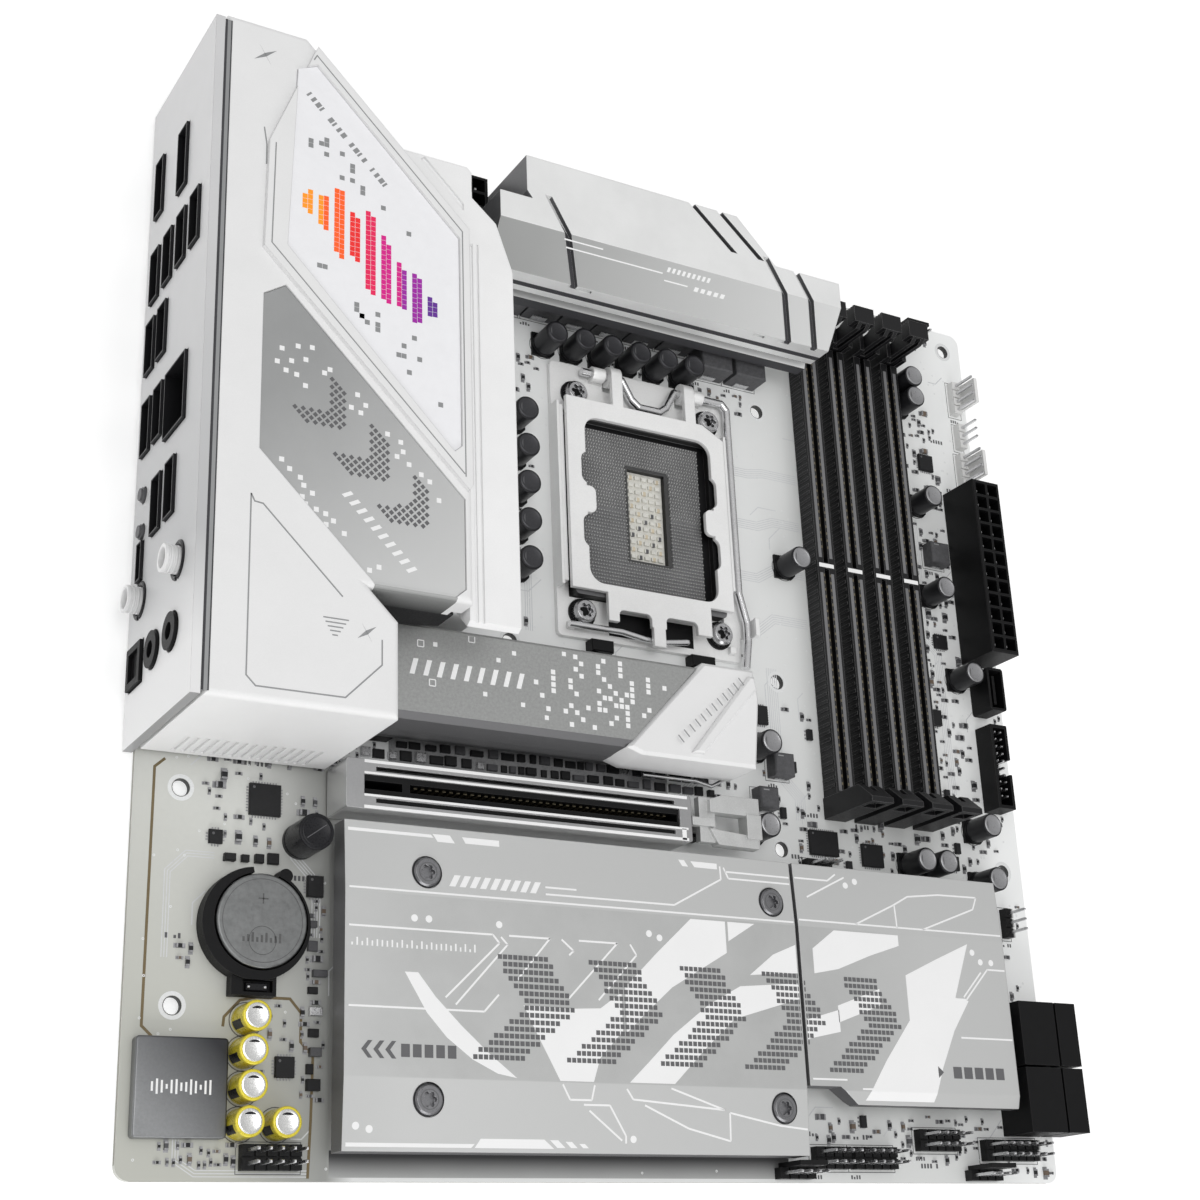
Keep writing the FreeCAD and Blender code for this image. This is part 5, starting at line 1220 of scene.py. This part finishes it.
def shroud_lines():
    """Fine engraved lines on the shroud's top face, the lens frame and the white column."""
    art, seam = Shape(), Shape()
    frame_z = span("io_shroud")[1][2]
    for points, width, z in (([(9, 131), (9, 92), (11, 90), (30, 90), (38, 98), (38, 103.5)],
            0.32, SHROUD_TOP), ([(9, 131), (9.8, 129.4), (11.6, 129.2), (29.2, 111.6)], 0.32, SHROUD_TOP),
            ([(12, 215.4), (11.6, 190), (57, 144.2)], 0.28, frame_z), ([(20.5, 240), (21.2, 241.4),
            (57.2, 205.2), (57.2, 143.6)], 0.28, frame_z), ([(9.6, 219.4), (10.3, 215), (10.3, 210)],
            0.3, SHROUD_TOP)):
        art.stroke(points, width, z)
    for x, y, scale in ((9.4, 238.4, 1), (34.6, 104.6, 0.8)):
        for dx, dy in ((2.6 * scale, 1.9 * scale), (-1.4 * scale, 2.4 * scale)):
            art.ink([(x - dx, y - dy), (x - 0.2, y + 0.4), (x + dx, y + dy), (x + 0.2, y - 0.4)], SHROUD_TOP)
    for k in range(5):
        y = 106.6 - 0.9 * k
        art.stroke([(25 + 0.5 * k, y), (30.6 - 0.6 * k, y)], 0.28, SHROUD_TOP)
    art.make("shroud_lines", "ink_mid", "shroud_white")
    low, high = span("io_plate")
    # painted shade along the seam between the rear plate and the shroud
    for x0, x1, m in ((0.05, 0.55, 0), (0.55, 1.35, 1), (1.35, 1.65, 0)):
        seam.ink(oblong(high[0] + x0, low[1] + 0.8, high[0] + x1, high[1] - 0.6), SHROUD_TOP, m)
    seam.make("rear_seam", "groove ink_mid", "black_plastic")


def upper_prints():
    """White pixel cluster and bars on the upper drive's heatsink; these ride on that heatsink."""
    low, high = span("m2_upper_heatsink")
    decal = Decal((low[0] + 0.6, 97.2, 130, 116), high[2])
    rng = random.Random(31)
    edge = [(47, 97.4), (108, 97.4), (128.6, 116), (47, 116)]
    taken = set()
    for k in range(900):
        i, j = rng.randint(0, 24), rng.randint(0, 11)
        x, y = 84 + 1.5 * i, 98.4 + 1.5 * j
        reach = (abs(y - 107) / 10) ** 2 + (abs(x - 102) / 21) ** 2
        chance = 0.15 * (1 - reach) * (1.4 if x > 106 else 0.8)
        if (i, j) not in taken and rng.random() < chance and inside(x, y, edge):
            taken.add((i, j))
            decal.spot(x, y, 0.8)
    for x, y in ((60.3, 112.8), (76, 111.3), (80, 113.5), (93, 115.2), (72.5, 102.8), (82, 101.5),
            (88, 99.2)):
        decal.spot(x, y, 0.74)
    for k in range(9):
        u = 54 + 3.3 * k
        decal.area([(u, 105.2), (u + 1.2, 105.2), (u + 2.2, 108.9), (u + 1, 108.9)])
    for x, y in ((56, 111.8), (58.8, 103), (68.6, 114.6)):
        decal.line([(x, y), (x + 1.5, y), (x + 1.5, y + 1.5), (x, y + 1.5), (x, y)], 0.25)
    decal.make("upper_heatsink_print", "upper_heatsink")


def latch_marks():
    """Ridges along the sloping edge of the upper drive's release latch."""
    low, high = span("m2_release_latch")
    marks = Shape()
    start, end = Vector((low[0] + 14, low[1] + 4.5)), Vector((high[0] - 6, high[1] - 4))
    across = Vector((start.y - end.y, end.x - start.x)).normalized() * 1.1
    for k in range(12):
        p = start + (end - start) * (k / 11)
        marks.prism(ribbon([tuple(p - across), tuple(p + across)], 0.3), high[2] - INK, high[2] + 0.02)
    marks.make("latch_ridges", "ink_mid", "white_plastic", "release_latch")


def slope(low_z, rise):
    """Height over the top heatsink's sloping face, level above it."""
    return lambda x, y: low_z + rise * min(1, max(0, (y - SLOPE_Y0) / (SLOPE_Y1 - SLOPE_Y0)))


def top_sink_prints():
    """Faint lines and bars on the top heatsink's level and sloping faces, and painted shadow on its lower
    walls and in its slanted grooves.
    """
    low, high = span("vrm_heatsink_top")
    decal = Decal((74.6, 212.6, 175.4, 228.6), slope(23, 7), (SLOPE_Y1,))
    for x0, x1, y in ((92, 103, 220.4), (93, 121, 218.9), (122, 129, 217.6)):
        decal.line([(x0, y), (x1, y)], 0.26)
    slants(decal, 9, 122, 219.4, 1.5, 0.8, 0.2, 1)
    for k in range(5):
        u = 131 + 2 * k
        decal.area([(u, 217), (u + 1.2, 217), (u + 1.4, 217.9), (u + 0.2, 217.9)])
    decal.make("top_heatsink_print")
    # painted shadow on the lower walls and in the slanted grooves
    lanes = Decal((low[0], low[1], high[0], high[1]), slope(21.6, 7), (SLOPE_Y1,))
    walls = lanes.shape
    for y0, z0, y1, z1, m in ((211.9, 17.4, 212.02, 19, 0), (211.98, 15, 213.7, 17.3, 1),
            (213.46, 12.7, 213.62, 15, 0), (211.9, 8.6, 212.02, 12, 0)):
        walls.box(low[0] + 0.05, y0, z0, high[0] - 0.05, y1, z1, m)
    for x in (86.5, 151.5, 160):
        lanes.area([(x + 0.05, 229), (x + 1.85, 229), (x + 6.8, 222), (x + 12.85, 212), (x + 11.05, 212),
            (x + 5, 222)])
    for x in (128, 136.5):
        lanes.area([(x + 1.2, 241), (x + 3, 241), (x + 15.2, 229.8), (x + 13.4, 229.8)])
    walls.make("top_heatsink_shadows", "groove top_satin", "metal_silver")


# ---------------- battery, sockets and small fittings
def battery_details():
    """Pressed marks on the coin cell, and the contact tab of its holder."""
    x, y, r, z = rounds("coin_cell")[0]
    art, tab = Shape(), Shape()
    art.ring(x, y, r - 1.3, r - 1.15, z - INK, z + 0.03, 64)
    art.stroke([(x - 1.1, y + 4.6), (x + 1.1, y + 4.6)], 0.3, z)
    art.stroke([(x, y + 3.5), (x, y + 5.7)], 0.3, z)
    for k in range(9):
        art.ink(oblong(x - 4.4 + k, y - 4.6, x - 3.9 + k, y - 3.6 + 0.5 * (k % 3)), z)
    art.ring(x, y - 4.2, 2.9, 3.05, z - INK, z + 0.03, 32)
    art.make("cell_embossing", "cell_mark", "cell_steel", "coin_cell")
    tab.block(x - 2.6, y - 14.3, 1.2, x + 2.2, y - 12.6, 2.2, 0.2)
    for dx in (-2, 1.6):
        tab.turned(x + dx, y - 13.5, [(0.34, 2.1), (0.34, 2.4), (0.2, 2.5)], 12, 1)
    tab.make("cell_contact_tab", "can_black tin", "nickel")


def pin_tips():
    """Tapered tips on the header and power pins."""
    tips = Shape()
    for name, rise in (("header_pins", 0.35), ("power_pins", 0.6)):
        for x, y, half, top in rounds(name):
            tips.loft([square(x, y, half), square(x, y, half / 2)], [top, top + rise])
    tips.make("pin_tips", "tin", "gold")


def solder_side():
    """Soldered pin ends, slot joints and parts on the underside."""
    rng = random.Random(77)
    joints, parts = Shape(), Shape()

    def joint(x, y, r=0.7, depth=1.1):
        joints.turned(x, y, [(0.2, -BOARD_T - depth), (0.36, -BOARD_T - depth + 0.15),
            (0.55 * r, -BOARD_T - 0.5), (r, -BOARD_T + INK)], 8)

    for name, depth in (("header_pins", 1.2), ("power_pins", 1.6)):
        for x, y, _, _ in rounds(name):
            joint(x, y, 0.75, depth)
    for x, y, _, _ in rounds("audio_caps", "bulk_cap", "polymer_caps"):
        joint(x - 1.25, y)
        joint(x + 1.25, y)
    for a, b in islands("dimm_bodies"):
        for k in range(72):
            for dx in (-1.9, 1.9):
                joint((a[0] + b[0]) / 2 + dx + (0.45 if k % 2 else -0.45), 96.5 + 1.72 * k, 0.42, 0.7)
    slot_x = span("pcie_body")[0][0] + 3
    for k in range(41):
        for dy in (-2.4, 2.4):
            joint(slot_x + 2 * k, 81.85 + dy + (0.5 if k % 2 else -0.5), 0.42, 0.7)
    joints.make("solder_joints", "tin", "nickel", smooth=True)
    for x0, y0, x1, y1, count in ((113, 147, 145, 181, 120), (84, 100, 170, 124, 60), (60, 20, 160, 70, 60),
            (168, 100, 176, 220, 30), (8, 90, 60, 120, 30)):
        for k in range(count):
            x, y = rng.uniform(x0, x1), rng.uniform(y0, y1)
            hx, hy = (0.8, 0.4) if k % 2 else (0.4, 0.8)
            for a0, a1, drop, m in ((-hx, hx, 0.5, 1), (-hx, -hx / 2, 0.53, 0), (hx / 2, hx, 0.53, 0)):
                parts.box(x + a0, y - hy, -BOARD_T - drop, x + a1, y + hy, -BOARD_T + INK, m)
    parts.make("underside_parts", "tin smd_tan", "chip_black")


for build in (finish_cad, board_edge, board_prints, collect_keepouts, chip_details, slot_edge_highlights, dark_row,
        scatter_parts, board_vias, board_tracks, board_legends, can_lids, coil_details, shield_details,
        socket_field, socket_well, frame_clips, memory_details, cover_prints, screw_seats, plate_art,
        lens_art, antenna_nuts, shroud_lines, shroud_end, upper_prints, latch_marks, top_sink_prints,
        battery_details, pin_tips, solder_side):
    build()


# ---------------- studio
def camera():
    """The photograph's viewpoint, in frame metres."""
    eye = Vector((-0.12271, -0.06547, 0.3815))
    forward = Vector((0.4787, 0.3578, -0.8017)).normalized()
    up = Vector((-0.149, 0.932, 0.331))
    up = (up - forward * up.dot(forward)).normalized()
    right = forward.cross(up)
    data = bpy.data.cameras.new("camera")
    data.lens = 57.36
    data.sensor_width = 36
    data.clip_start = 0.01
    obj = bpy.data.objects.new("camera", data)
    rows = [[right[i], up[i], -forward[i], eye[i]] for i in range(3)] + [[0, 0, 0, 1]]
    obj.matrix_world = Matrix(rows)
    bpy.context.scene.collection.objects.link(obj)
    bpy.context.scene.camera = obj


def area_light(name, where, aim, size, power, tint=(1, 1, 1)):
    data = bpy.data.lights.new(name, "AREA")
    data.shape = "RECTANGLE"
    data.size, data.size_y = size
    data.energy = power
    data.color = tint
    obj = bpy.data.objects.new(name, data)
    obj.location = where
    obj.rotation_euler = (Vector(aim) - Vector(where)).to_track_quat("-Z", "Y").to_euler()
    bpy.context.scene.collection.objects.link(obj)


def sky():
    """Soft surround, brighter overhead than at the horizon, so that metal has something to reflect."""
    world = bpy.data.worlds.new("studio")
    world.use_nodes = True
    tree = world.node_tree
    background = tree.nodes["Background"]
    background.inputs["Color"].default_value = (1, 1, 1, 1)
    coords = tree.nodes.new("ShaderNodeTexCoord")
    split = tree.nodes.new("ShaderNodeSeparateXYZ")
    tree.links.new(coords.outputs["Generated"], split.inputs["Vector"])
    ramp = node(tree, "ShaderNodeMapRange", From_Min=-0.05, From_Max=0.9, To_Min=0.28, To_Max=0.68)
    tree.links.new(split.outputs["Z"], ramp.inputs["Value"])
    tree.links.new(ramp.outputs["Result"], background.inputs["Strength"])
    bpy.context.scene.world = world


def studio():
    floor_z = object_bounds()[0][2] - 0.0005
    mesh = bpy.data.meshes.new("floor")
    reach = 3
    mesh.from_pydata([(-reach, -reach, floor_z), (reach, -reach, floor_z), (reach, reach, floor_z),
        (-reach, reach, floor_z)], [], [(0, 1, 2, 3)])
    floor = bpy.data.objects.new("floor", mesh)
    mesh.materials.append(surface("floor_paper", (0.93, 0.93, 0.93), 0.9, tone=0.01, edge=0, glow=0.35))
    bpy.context.scene.collection.objects.link(floor)
    floor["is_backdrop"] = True
    sky()
    area_light("overhead", (-0.05, 0.05, 1.5), (0.11, 0.09, 0), (0.7, 0.7), 5)
    area_light("left_window", (-1.1, 0.2, 0.6), (0.1, 0.09, 0), (0.5, 0.9), 0.5)
    area_light("front_window", (0.1, -1.1, 0.5), (0.11, 0.09, 0), (1.2, 0.5), 5.5)
    bpy.context.scene.view_settings.view_transform = "Standard"
    bpy.context.scene.view_settings.look = "None"


camera()
studio()
